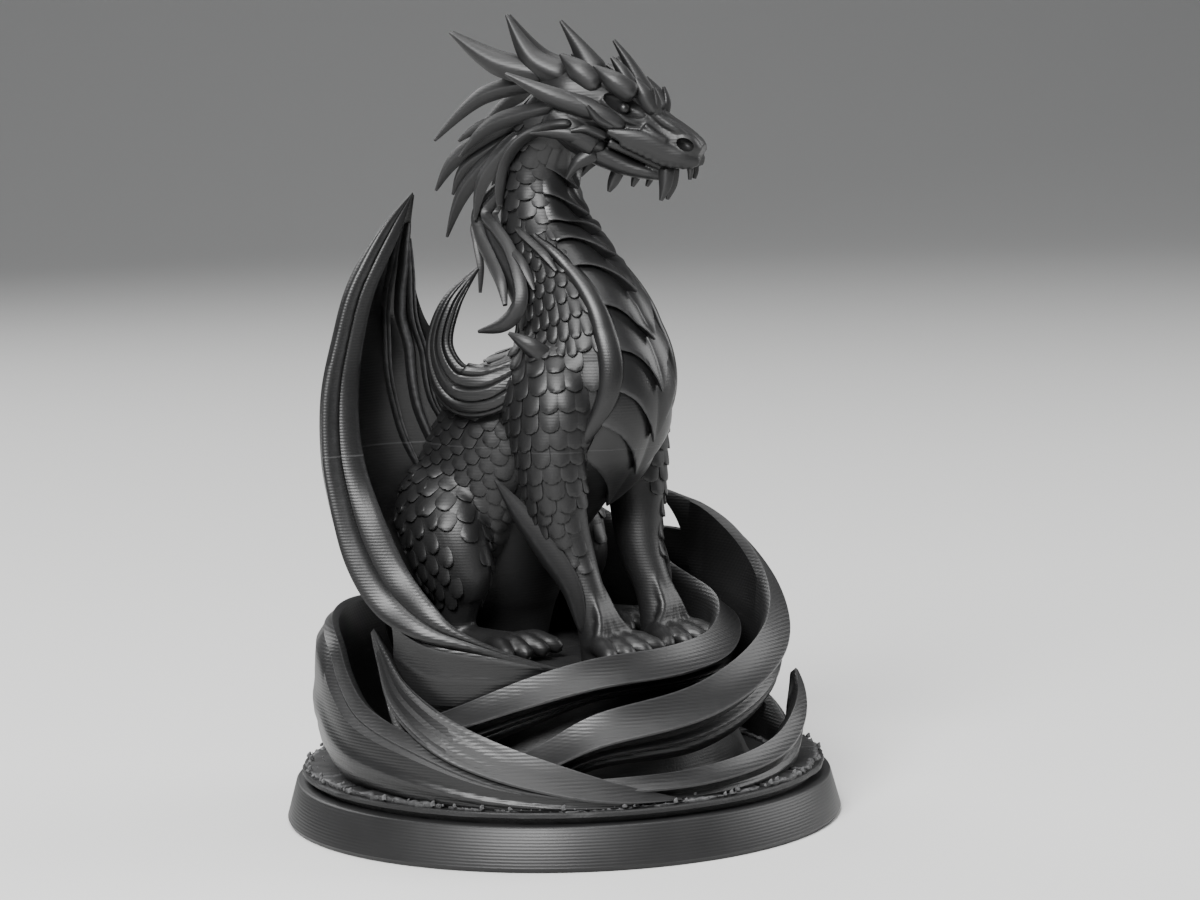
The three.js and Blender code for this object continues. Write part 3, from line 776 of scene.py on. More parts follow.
    def rock(self) -> bpy.types.Object:
        """Heaps the rough mound under the paws.

        Returns:
            The mound.
        """
        carver = Carver()
        foot, waist, top = self.rock_radii
        low = self.slab_top - 0.4
        rows = np.array([(foot, low), (waist, (low + self.rock_top) / 2), (top, self.rock_top - 0.5)])
        turn = np.linspace(0, 2 * np.pi, 120, endpoint=False)
        rings = []
        for radius, height in blend(rows, np.linspace(0, 1, 26)):
            rings.append([self._rough(radius, a, height) for a in turn])
        for share in np.linspace(0.96, 0.04, 26):
            rings.append([self._rough(top * share, a, self.rock_top - 0.25) for a in turn])
        carver.tube(np.array(rings))
        return carver.to_object("seat_rock")

    @staticmethod
    def _rough(radius: float, turn: float, height: float) -> tuple[float, float, float]:
        """Breaks a point of the mound by two sizes of lump.

        Args:
            radius: its distance from the middle.
            turn: its angle.
            height: its height.

        Returns:
            The moved point.
        """
        point = (radius * math.cos(turn), radius * math.sin(turn), height)
        lump = 0.45 * grit(point, 3.0, 2.0) + 0.25 * grit(point, 0.9, 4.0)
        out = 1 + 0.3 * lump / max(radius, 6.0)
        return point[0] * out, point[1] * out, height + 0.7 * lump


class Fold(Enum):
    """How a ribbon's sloping face is worked."""

    PLAIN = 0
    CREASED = 1


FACE_SHARES = (0.06, 0.14, 0.24, 0.33, 0.42, 0.5, 0.58, 0.67, 0.76, 0.86, 0.94)
WALL_BEAD = 0.5  # the share of a wall's height where a fine bead runs
WALL_PROFILE = (
    (0.1, 0.47), (0.2, 0.33), (0.3, 0.25), (0.36, 0.22), (0.42, 0.28), (0.47, 0.38),
    (WALL_BEAD, 0.4), (0.58, 0.36), (0.64, 0.22), (0.7, 0.24), (0.78, 0.22), (0.9, 0.06),
)


@dataclass(frozen=True)
class Ribbon:
    """One ribbon of the nest: angle in degrees, crest radius, crest height, face width, wall height."""

    rows: Table
    thickness: float = 1.5
    belly: float = 0.0
    fold: Fold = Fold.PLAIN
    lean: float = 0.7
    slope: float = 0.72
    dish: float = 0.05
    crease_depth: float = 0.16

    def rings(self, steps: int) -> tuple[np.ndarray, np.ndarray]:
        """Works out the ribbon's sections.

        Args:
            steps: stretches along the ribbon.

        Returns:
            The rings, and the paleness on their edges, painted highlight along with wearing.
        """
        t = np.linspace(0, 1, steps + 1)
        angle, radius, height, face, wall = blend(self.rows, t).T
        face, wall = np.maximum(face, 0.2), np.maximum(wall, 0.2)
        fall = self.slope * face
        swell = self.belly * np.minimum(1, wall / 8)
        thick = np.minimum(self.thickness, 0.4 + face)
        # third value of each point is its paleness: crest, face edge and wall bead painted pale as highlight
        # along with wearing
        section: list[tuple[np.ndarray, np.ndarray, float]] = [
            (-0.1 * thick, -0.05 * fall, 0.3),
            (0 * face, 0 * face, 0.9),
        ]
        crease = self.crease_depth * np.minimum(1, face / 3) * np.sin(np.pi * np.clip(1.6 * t, 0, 1))
        for share in FACE_SHARES:
            folds = self.fold.value * crease * math.sin(6 * math.pi * share)
            hollow = self.dish * math.sin(math.pi * share) * face + folds
            section.append((self.lean * (face * share - hollow), -fall * share - self.lean * hollow, 0.0))
        section += [
            (self.lean * face, -fall, 0.8),
            (0.69 * face, -fall - np.minimum(0.22, 0.1 * wall), 0.2),
        ]
        for down, out in WALL_PROFILE:
            bulge = swell * math.sin(math.pi * min(1.0, 1.1 * down)) ** 0.4
            section.append((out * face + bulge, -fall - down * wall, 0.25 if down == WALL_BEAD else 0.0))
        section += [
            (-0.1 * thick, -fall - wall, 0.0),
            (-thick, -fall - wall, 0.0),
            (-0.9 * thick, -fall - 0.5 * wall, 0.0),
            (-0.55 * np.minimum(thick, face), -0.5 * fall, 0.0),
        ]
        turn = np.radians(angle)
        rings = []
        for out, up, _ in section:
            reach = radius + out
            rings.append(np.stack([reach * np.cos(turn), reach * np.sin(turn), height + up], -1))
        pale_wear_and_highlight = np.broadcast_to([edge_wear_and_highlight for *_, edge_wear_and_highlight in section], (steps + 1, len(section)))
        return np.stack(rings, 1), pale_wear_and_highlight


@dataclass
class Nest(Assembly):
    """The tail and flame-like ribbons that sweep round the seat."""

    tail: Ribbon = Ribbon((
        (100, 11.0, 32.0, 2.6, 14.0),
        (62, 15.5, 32.6, 3.0, 15.0),
        (28, 17.0, 31.6, 3.2, 13.0),
        (-8, 17.2, 25.0, 3.2, 9.0),
        (-45, 17.2, 22.7, 3.3, 7.0),
        (-72, 17.2, 20.8, 3.4, 3.4),
        (-100, 17.7, 20.2, 3.5, 2.2),
        (-128, 18.5, 19.9, 3.6, 2.0),
        (-150, 20.0, 18.2, 3.6, 2.6),
        (-172, 22.3, 14.9, 3.0, 3.0),
        (-190, 22.8, 12.0, 2.2, 3.0),
    ), thickness=1.8)
    right_flame: Ribbon = Ribbon((
        (-160, 22.6, 8.8, 1.8, 1.4),
        (-146, 23.0, 11.8, 3.3, 2.6),
        (-130, 22.9, 15.0, 3.9, 3.0),
        (-101, 22.6, 17.0, 3.9, 4.4),
        (-67, 22.6, 21.0, 3.5, 5.8),
        (-49, 22.7, 23.6, 2.8, 8.5),
        (-34, 22.7, 26.4, 2.2, 10.5),
        (-19, 22.5, 29.4, 1.6, 12.5),
        (-7, 22.4, 31.2, 1.0, 10.0),
        (0, 22.3, 31.9, 0.7, 3.0),
        (8, 22.3, 32.7, 0.3, 0.4),
    ))
    flame_root: Ribbon = Ribbon((
        (-34, 22.3, 24.0, 0.4, 11.0),
        (-18, 22.3, 26.6, 0.5, 13.0),
        (-3, 22.2, 28.0, 0.5, 13.0),
        (10, 22.0, 28.4, 0.5, 11.0),
        (22, 21.6, 27.6, 0.4, 6.0),
        (30, 21.2, 26.0, 0.2, 1.0),
    ), thickness=1.1)
    low_flame: Ribbon = Ribbon((
        (-147, 24.4, 7.6, 0.8, 1.6),
        (-134, 25.3, 8.5, 1.5, 2.4),
        (-108, 26.2, 9.0, 1.9, 2.8),
        (-80, 25.7, 10.2, 2.0, 4.2),
        (-64, 25.6, 12.2, 1.7, 5.0),
        (-52, 25.6, 13.9, 1.0, 3.0),
        (-46, 25.6, 14.8, 0.3, 0.5),
    ))
    left_flame: Ribbon = Ribbon((
        (161, 22.9, 22.4, 0.5, 0.8),
        (168, 23.2, 20.3, 1.6, 4.0),
        (177, 23.8, 17.6, 3.2, 6.0),
        (190, 24.2, 14.7, 4.2, 5.6),
        (203, 24.7, 12.5, 4.2, 4.4),
        (219, 25.5, 10.2, 3.6, 2.6),
        (231, 26.4, 8.4, 2.4, 1.8),
        (246, 27.4, 6.3, 0.15, 0.2),
    ), fold=Fold.CREASED)
    back_flame: Ribbon = Ribbon((
        (-42, 24.6, 8.6, 0.8, 2.0),
        (-15, 24.2, 13.0, 2.2, 4.6),
        (15, 23.2, 17.6, 3.0, 6.0),
        (45, 21.8, 20.8, 3.2, 7.5),
        (75, 20.6, 22.6, 2.8, 8.5),
        (105, 19.6, 22.8, 1.8, 6.0),
        (126, 19.0, 22.0, 0.4, 1.0),
    ))
    outer_wave: Ribbon = Ribbon((
        (8, 25.0, 7.0, 0.6, 0.8),
        (32, 24.8, 11.5, 1.2, 5.0),
        (62, 24.4, 17.5, 1.3, 10.5),
        (95, 24.2, 22.0, 1.3, 15.0),
        (125, 24.4, 22.6, 1.3, 15.5),
        (147, 25.0, 21.2, 1.4, 14.0),
        (158, 25.5, 17.8, 1.5, 11.0),
        (168, 25.9, 15.0, 1.6, 8.0),
        (186, 26.2, 12.4, 1.6, 6.0),
        (204, 26.6, 9.8, 1.6, 3.6),
        (222, 27.0, 8.0, 1.2, 2.0),
        (236, 27.3, 6.9, 0.6, 0.8),
    ), thickness=1.7, belly=1.8)
    wing_wall: Ribbon = Ribbon((
        (-137, 17.2, 18.6, 0.3, 1.6),
        (-150, 18.9, 19.5, 0.3, 3.4),
        (-165, 20.6, 20.6, 0.4, 5.0),
        (-178, 22.2, 21.6, 0.4, 6.0),
        (-191, 22.4, 23.4, 0.4, 6.0),
    ), thickness=1.0)
    steps: int = 150

    def build(self) -> bpy.types.Object:
        """Sweeps all the ribbons.

        Returns:
            The ribbons as one object.
        """
        carver = Carver()
        for ribbon in (self.tail, self.right_flame, self.flame_root, self.low_flame, self.left_flame,
                       self.back_flame, self.outer_wave, self.wing_wall):
            carver.tube(*ribbon.rings(self.steps))
        return carver.to_object("nest_ribbons")


@dataclass
class Body(Assembly):
    """The dragon's smooth skin: trunk, neck, legs and paws, melted into one."""

    trunk: Table = (
        (0, 10.5, 17.0, 6.5, 6.5),
        (0, 10.5, 24.0, 8.0, 8.0),
        (0, 7.4, 32.0, 7.6, 8.4),
        (0, 1.8, 39.0, 7.2, 8.8),
        (0, -4.0, 46.0, 7.8, 9.5),
        (0, -4.2, 52.0, 6.9, 7.6),
        (0, -1.6, 58.0, 5.5, 5.6),
        (0, 0.8, 62.5, 4.4, 4.5),
        (0, 1.8, 67.0, 3.8, 3.9),
        (0, 1.2, 71.0, 3.7, 3.8),
        (0, -1.3, 75.0, 3.7, 3.9),
        (0.4, -4.2, 77.0, 3.2, 3.2),
    )
    flank: Table = (
        (-2.8, 0.2, 49.4, 2.4, 2.8),
        (-4.8, 3.0, 44.6, 3.8, 5.6),
        (-5.4, 6.0, 38.5, 4.2, 7.0),
        (-5.8, 9.4, 32.0, 4.4, 7.0),
        (-5.6, 11.0, 26.0, 4.0, 6.0),
    )
    foreleg: Table = (
        (-4.6, -2.0, 51.5, 2.6, 3.6),
        (-6.2, -4.0, 46.0, 3.7, 5.4),
        (-6.9, -5.0, 39.5, 3.3, 3.8),
        (-6.5, -5.6, 33.5, 2.7, 3.1),
        (-5.6, -6.7, 28.6, 2.2, 2.5),
        (-5.5, -8.5, 24.5, 1.9, 2.1),
        (-5.2, -9.6, 21.0, 2.1, 2.2),
        (-4.9, -10.6, 17.0, 2.8, 3.0),
    )
    thigh: Table = (
        (-3.5, 13.0, 35.0, 4.0, 4.6),
        (-7.0, 11.0, 33.6, 4.4, 6.4),
        (-9.2, 8.2, 30.2, 4.0, 5.8),
        (-9.8, 6.0, 26.4, 3.0, 4.4),
        (-9.8, 5.4, 23.6, 1.9, 2.6),
    )
    hind_foot: Table = (
        (-9.8, 5.0, 26.5, 2.2, 2.6),
        (-9.8, 6.2, 21.8, 1.9, 2.1),
        (-9.8, 5.0, 19.7, 1.9, 1.9),
        (-10.0, 1.8, 19.5, 2.2, 1.7),
        (-10.2, -1.4, 19.6, 2.8, 1.6),
    )
    elbow_spur: Table = (
        (-7.0, -8.9, 21.3, 0.7, 1.0),
        (-7.6, -8.0, 26.0, 0.8, 1.4),
        (-8.3, -5.6, 29.7, 0.9, 1.6),
        (-8.9, -2.3, 33.7, 0.8, 1.2),
        (-9.0, 1.0, 37.1, TIP, TIP),
    )
    fore_paw: tuple[float, float, float] = (-4.9, -10.8, 19.6)
    hind_paw: tuple[float, float, float] = (-10.2, -1.2, 19.6)
    toe_headings: tuple[float, ...] = (-40.0, -13.0, 14.0, 41.0)
    toe_length: float = 4.0
    toe_radius: float = 1.2
    toe_turn: float = 0.7
    toe_spread: float = 0.055
    knuckles: Table = (
        (-0.25, 0.3, 0.8),
        (0.1, 0.55, 0.8),
        (0.4, 0.55, 0.88),
        (0.65, 0.25, 0.8),
        (0.88, -0.1, 0.78),
        (1.08, -0.55, 0.5),
    )
    tendon: Table = (
        (0.55, -11.1, 22.6, 0.5),
        (0.4, -10.1, 24.8, 0.4),
        (0.3, -8.8, 27.6, 0.2),
    )
    claw: Table = (
        (0.8, 0.1),
        (0.98, -0.1),
        (1.06, -0.75),
    )
    claw_size: tuple[float, float, float] = (0.36, 0.36, 0.75)
    voxel: float = 0.275

    def build(self) -> bpy.types.Object:
        """Melts trunk, legs and paws together.

        Returns:
            The skin, remeshed as one surface and smoothed.
        """
        carver = Carver()
        carver.tube(limb_rings(self.trunk, 56, 110))
        for side in Side:
            for rows in (self.flank, self.foreleg, self.thigh, self.hind_foot):
                carver.tube(limb_rings(mirrored(rows, side), 36, 60))
            for paw in (self.fore_paw, self.hind_paw):
                for heading in self.toe_headings:
                    carver.tube(limb_rings(self._toe(paw, heading, side), 16, 20))
            for heading in self.toe_headings:
                carver.tube(limb_rings(self._tendon(heading, side), 12, 24))
        skin = carver.to_object("statue_skin")
        modify(skin, "REMESH", mode="VOXEL", voxel_size=self.voxel * MM)
        modify(skin, "SMOOTH", factor=0.5, iterations=4)
        return skin

    def spurs(self) -> bpy.types.Object:
        """Makes the elbow fins and the claws.

        Returns:
            All of them as one object.
        """
        carver = Carver()
        for side in Side:
            fin = limb_rings(mirrored(self.elbow_spur, side), 16, 40, 1.3, heel=0.3)
            # fin edges painted pale: painted highlight along with wearing
            carver.tube(fin, ridge_wear_and_highlight(40, 16, 0.35))
            for paw in (self.fore_paw, self.hind_paw):
                for heading in self.toe_headings:
                    add_spike(carver, self._claw(paw, heading, side), steps=12, edge_wear_and_highlight=0.0)
        return carver.to_object("spurs_and_claws")

    def _ahead(self, paw: Sequence[float], heading: float, side: Side, share: float) -> tuple[float, float]:
        """Walks along a toe.

        Args:
            paw: the middle of the paw.
            heading: where the toe points, in degrees.
            side: the side of the paw.
            share: share of the toe's length.

        Returns:
            x and y at that share.
        """
        turn = math.radians(self.toe_turn * heading)
        reach = share * self.toe_length
        spread = self.toe_spread * heading
        x = side.value * (paw[0] + side.value * spread) + math.sin(turn) * reach
        return x, paw[1] - math.cos(turn) * reach

    def _toe(self, paw: Sequence[float], heading: float, side: Side) -> list[list[float]]:
        """Draws a toe.

        Args:
            paw: the middle of the paw.
            heading: where the toe points, in degrees.
            side: the side of the paw.

        Returns:
            Its table: ball, knuckles and tip.
        """
        turn = heading * side.value
        rows = []
        for share, lift, size in self.knuckles:
            x, y = self._ahead(paw, turn, side, share)
            rows.append([x, y, paw[2] + lift, size * self.toe_radius, size * self.toe_radius])
        return rows

    def _tendon(self, heading: float, side: Side) -> list[list[float]]:
        """Draws a tendon that runs from a toe up the front of the foreleg.

        Args:
            heading: where the toe points, in degrees.
            side: the side of the paw.

        Returns:
            Its table.
        """
        x, y = self._ahead(self.fore_paw, heading * side.value, side, 0.15)
        middle = self.fore_paw[0] * side.value
        rows = [[x, y, self.fore_paw[2] + 1.1, 0.65, 0.65]]
        for share, ahead, height, half in self.tendon:
            rows.append([middle + share * (x - middle) - 0.5 * side.value, ahead, height, half, half])
        return rows

    def _claw(self, paw: Sequence[float], heading: float, side: Side) -> list[float]:
        """Draws a claw.

        Args:
            paw: the middle of the paw.
            heading: where the toe points, in degrees.
            side: the side of the paw.

        Returns:
            Its row, as a spike's.
        """
        row: list[float] = []
        turn = heading * side.value
        for share, lift in self.claw:
            row += [*self._ahead(paw, turn, side, share), paw[2] + lift]
        return [*row, *self.claw_size]


@dataclass
class BellyPlates(Assembly):
    """The overlapping plates down the throat and belly, and the smooth straps that frame them."""

    trunk: Table
    plates: Table = (
        (0.293, 0.338, 0.0),
        (0.337, 0.367, 0.0),
        (0.362, 0.393, 0.1),
        (0.392, 0.428, 0.2),
        (0.432, 0.478, 0.4),
        (0.482, 0.539, 0.6),
        (0.534, 0.590, 0.9),
        (0.578, 0.652, 1.1),
        (0.640, 0.728, 1.1),
        (0.740, 0.822, 0.8),
        (0.830, 0.900, 0.4),
    )
    straps: Table = (
        (67, 0.4),
        (55, 0.65),
        (43.5, 0.8),
        (38, 1.0),
        (37, 1.25),
        (39.5, 1.25),
        (50, 0.7),
    )
    strap_span: tuple[float, float] = (0.63, 0.35)
    # share, height and paleness: the lower edge's lip is painted pale, highlight along with wearing
    plate_section: Table = (
        (1.0, -0.5, 0.0), (1.0, 0.0, 0.0), (0.75, 0.22, 0.0), (0.5, 0.45, 0.0), (0.3, 0.65, 0.0),
        (0.15, 0.82, 0.0), (0.05, 0.96, 0.2), (0.0, 1.0, 0.6), (-0.02, 0.93, 0.3), (-0.015, 0.75, 0.0),
        (0.04, 0.35, 0.0), (0.1, -0.5, 0.0),
    )
    bow_power: float = 2.2
    ragged: float = 0.0009
    widest: float = 43.0
    rise: float = 0.95
    tip_width: float = 0.3
    overlap: float = 0.02

    def on_trunk(self, t: np.ndarray, degrees: np.ndarray, rise: Union[float, np.ndarray]) -> np.ndarray:
        """Finds points over the trunk.

        Args:
            t: places along the trunk.
            degrees: angle from straight ahead, growing to the dragon's left.
            rise: height over the skin.

        Returns:
            One point for each place.
        """
        return Stations.read(self.trunk, t).skin(np.radians(180 - degrees), rise)

    def strap_at(self, t: np.ndarray) -> tuple[np.ndarray, np.ndarray]:
        """Reads the straps' table.

        Args:
            t: places along the trunk.

        Returns:
            The strap's angle and half width at each place.
        """
        first, last = self.strap_span
        row = blend(self.straps, (first - t) / (first - last))
        return row[..., 0], row[..., 1]

    def build(self) -> bpy.types.Object:
        """Lays the plates and the straps.

        Returns:
            All of them as one object.
        """
        carver = Carver()
        for edge, above in zip(self.plates, self.plates[1:]):
            carver.tube(*self._plate(edge, above))
        for side in Side:
            carver.tube(self._strap(side))
        return carver.to_object("belly_plates")

    def _plate(self, edge: Sequence[float], above: Sequence[float]) -> tuple[np.ndarray, np.ndarray]:
        """Bends one plate round the trunk.

        Args:
            edge: its own row.
            above: the row of the plate above.

        Returns:
            Its rings, from side to side, and the paleness on its lower edge, painted highlight along with
            wearing.
        """
        u = np.linspace(-1, 1, 61)[:, None]
        bow = 1 - (1 - np.abs(u)) ** self.bow_power
        share, height, edge_wear_and_highlight = np.array(self.plate_section).T
        low = edge[0] + (edge[1] - edge[0]) * bow
        top = above[0] + (above[1] - above[0]) * bow + self.overlap
        ragged = self.ragged * np.array([[grit((v * 30, edge[0] * 90, 0), 1.0)] for v in u[:, 0]])
        level = low + (top - low) * share[None, :] + np.where(edge_wear_and_highlight > 0, ragged, 0.0)
        half_angle = np.minimum(self.strap_at(level)[0], self.widest) + 1.0
        tip = edge[2] * np.exp(-((u / self.tip_width) ** 2))
        rise = (self.rise * (1 - 0.35 * u**4) + tip) * height[None, :]
        rings = self.on_trunk(level, u * half_angle, rise)
        return rings, np.broadcast_to(edge_wear_and_highlight, rings.shape[:2])

    def _strap(self, side: Side) -> np.ndarray:
        """Bends one strap round the trunk, low and flat-topped.

        Args:
            side: the side that is wanted.

        Returns:
            Its rings.
        """
        t = np.linspace(*self.strap_span, 70)
        degrees, half = self.strap_at(t)
        degrees = -side.value * degrees
        middle = self.on_trunk(t, degrees, 0.0)
        across = unit(self.on_trunk(t, degrees + 1, 0.0) - self.on_trunk(t, degrees - 1, 0.0))
        out = unit(self.on_trunk(t, degrees, 1.0) - middle)
        turn = np.linspace(0, 2 * np.pi, 24, endpoint=False)
        cos, sin = np.cos(turn), np.sin(turn)
        flat = (np.sign(sin) * np.abs(sin) ** 0.6)[None, :, None]
        wide = half[:, None, None] * cos[None, :, None]
        tall = (0.55 * half + 0.35)[:, None, None] * flat
        return middle[:, None] + across[:, None] * wide + out[:, None] * tall


@dataclass(frozen=True)
class ScalePatch:
    """A field of scales on one limb: where it lies, how far apart and how large the scales are."""

    rows: Table
    places: tuple[float, float]
    angles: tuple[float, float]
    pitch_across: float
    pitch_along: float
    length: float
    rise: float
    pointed: float = 0.0


@dataclass
class Scales(Assembly):
    """Rows of overlapping scales that lie on the skin."""

    body: Body
    outline: Table = (
        (0.0, 0.8, 0.0), (0.3, 1.0, 0.3), (0.6, 1.0, 0.65), (0.8, 0.95, 0.9),
        (0.92, 0.75, 1.0), (0.98, 0.45, 1.0), (1.0, 0.15, 0.95),
    )
    section: Table = (
        (-1.0, -0.7), (-1.0, 0.7), (-0.75, 0.95), (0.0, 1.0), (0.75, 0.95), (1.0, 0.7), (1.0, -0.7),
    )
    half_width: float = 0.6
    root_depth: float = 0.4
    seat_share: float = 0.55
    sway: float = 0.12
    outward: float = 0.3
    least_facing: float = 0.35
    reach_out: float = 2.6
    reach_in: float = 0.9
    farthest: float = 1.2
    closest: float = 0.58
    # paleness of a scale's rim and tip: painted highlight along with wearing
    rim_wear_and_highlight: float = 0.3
    tip_wear_and_highlight: float = 0.5

    def patches(self, side: Side) -> list[ScalePatch]:
        """Lists the fields of scales of one side.

        Args:
            side: the side that is wanted.

        Returns:
            One patch for each field.
        """
        body = self.body
        turn = side.value
        foreleg, flank, thigh = (mirrored(rows, side) for rows in (body.foreleg, body.flank, body.thigh))
        facing = (180 + 46 * turn, 180 + 122 * turn)
        return [
            ScalePatch(foreleg, (0.06, 0.38), (25 * turn, -150 * turn), 1.7, 1.45, 3.0, 0.42),
            ScalePatch(foreleg, (0.38, 0.6), (-30 * turn, -120 * turn), 1.4, 1.05, 2.0, 0.36),
            ScalePatch(body.trunk, (0.62, 0.44), (180 + 44 * turn, 180 + 100 * turn), 1.05, 1.3, 3.0, 0.5),
            ScalePatch(body.trunk, (0.9, 0.6), facing, 1.9, 1.0, 2.4, 0.42),
            ScalePatch(flank, (0.2, 1.0), (-15 * turn, -205 * turn), 1.6, 1.2, 2.3, 0.4),
            ScalePatch(thigh, (0.15, 0.92), (-65 * turn, -190 * turn), 1.4, 1.25, 2.1, 0.42, pointed=0.3),
            ScalePatch(body.trunk, (0.9, 0.08), (180 + 115 * turn, 180 + 180 * turn), 1.9, 1.7, 2.5, 0.4),
        ]

    def build(self, side: Side, skin: BVHTree) -> bpy.types.Object:
        """Lays the scales of one side.

        Args:
            side: the side that is wanted.
            skin: the smooth skin, in millimetres.

        Returns:
            All the scales of that side as one object.
        """
        carver = Carver()
        centres = np.zeros((0, 3))
        for patch in self.patches(side):
            room = self.closest * min(patch.pitch_across, patch.pitch_along)
            for point, normal, heading in self._seats(patch, skin):
                if len(centres) and np.min(np.linalg.norm(centres - point, axis=1)) < room:
                    continue
                rings = self._scale(patch, skin, point, normal, heading)
                if rings is not None:
                    centres = np.vstack([centres, point])
                    carver.tube(rings, self._pale_rim_and_tip())
        return carver.to_object(f"scales_{side.name.lower()}")

    def _seats(self, patch: ScalePatch, skin: BVHTree) -> list[tuple[np.ndarray, np.ndarray, np.ndarray]]:
        """Finds the seats of a patch's scales, in staggered rows.

        Args:
            patch: the field of scales.
            skin: the smooth skin.

        Returns:
            Place, normal and heading of each scale.
        """
        start, end = patch.places
        path = blend(patch.rows, np.linspace(start, end, 30))[:, :3]
        rows = max(2, int(np.linalg.norm(np.diff(path, axis=0), axis=1).sum() / patch.pitch_along))
        seats = []
        for row in range(rows):
            t = np.array(start + (end - start) * row / (rows - 1))
            size = blend(patch.rows, t)[3:5].mean()
            first, last = np.radians(patch.angles)
            columns = max(2, int(abs(last - first) * size / patch.pitch_across))
            for column in range(columns):
                angle = np.array(first + (last - first) * (column + 0.5 * (row % 2)) / (columns - 0.5))
                stations = Stations.read(patch.rows, t)
                foot = stations.skin(angle)
                out = unit(stations.skin(angle, 1.0) - foot)
                sway = self.sway * grit(foot, 1.5, 3.0) * stations.side
                ahead = (stations.along + sway) * np.sign(end - start)
                seats.append(self._seat(skin, foot, out, ahead))
        return [seat for seat in seats if seat]

    def _seat(self, skin: BVHTree, foot: np.ndarray, out: np.ndarray,
              ahead: np.ndarray) -> Optional[tuple[np.ndarray, np.ndarray, np.ndarray]]:
        """Finds where a scale sits on the skin.

        Args:
            skin: the smooth skin.
            foot: its place by the limb's table.
            out: the way out of the limb.
            ahead: the way that its tip points.

        Returns:
            Place, normal and heading, or nothing if another limb covers the place.
        """
        reach = self.reach_out + self.reach_in
        hit, normal, _, _ = skin.ray_cast(Vector(foot + out * self.reach_out), Vector(-out), reach)
        if hit is None:
            return None
        face = unit(np.array(normal) + self.outward * out)
        if face @ out < self.least_facing:
            return None
        return np.array(hit), face, unit(ahead - face * (ahead @ face))

    def _scale(self, patch: ScalePatch, skin: BVHTree, point: np.ndarray, normal: np.ndarray,
               heading: np.ndarray) -> Optional[np.ndarray]:
        """Bends one scale to the skin.

        Args:
            patch: the field that it belongs to.
            skin: the smooth skin.
            point: its seat.
            normal: the way out of the skin.
            heading: the way that its tip points.

        Returns:
            Its rings, from its root to its tip, or nothing if it would leave the skin.
        """
        across = np.cross(normal, heading)
        half = self.half_width * patch.pitch_across
        rings = []
        for share, width, height in self.outline:
            width *= 1 - patch.pointed * share**2
            ring = []
            for aside, lift in self.section:
                along = heading * (share - self.seat_share) * patch.length
                spot = point + along + across * aside * width * half
                near, face, _, gap = skin.find_nearest(Vector(spot))
                if near is None or gap > self.farthest:
                    return None
                rise = patch.rise * height * lift if lift > 0 else self.root_depth * lift
                ring.append(np.array(near) + np.array(face) * rise)
            rings.append(ring)
        return np.array(rings)

    def _pale_rim_and_tip(self) -> np.ndarray:
        """Pales the rim and the tip of a scale, as painted highlight along with wearing.

        Returns:
            One value for each point of its rings.
        """
        pale_wear_and_highlight = np.zeros((len(self.outline), len(self.section)))
        pale_wear_and_highlight[2:, [1, -2]] = self.rim_wear_and_highlight
        pale_wear_and_highlight[-1] = self.tip_wear_and_highlight
        return pale_wear_and_highlight


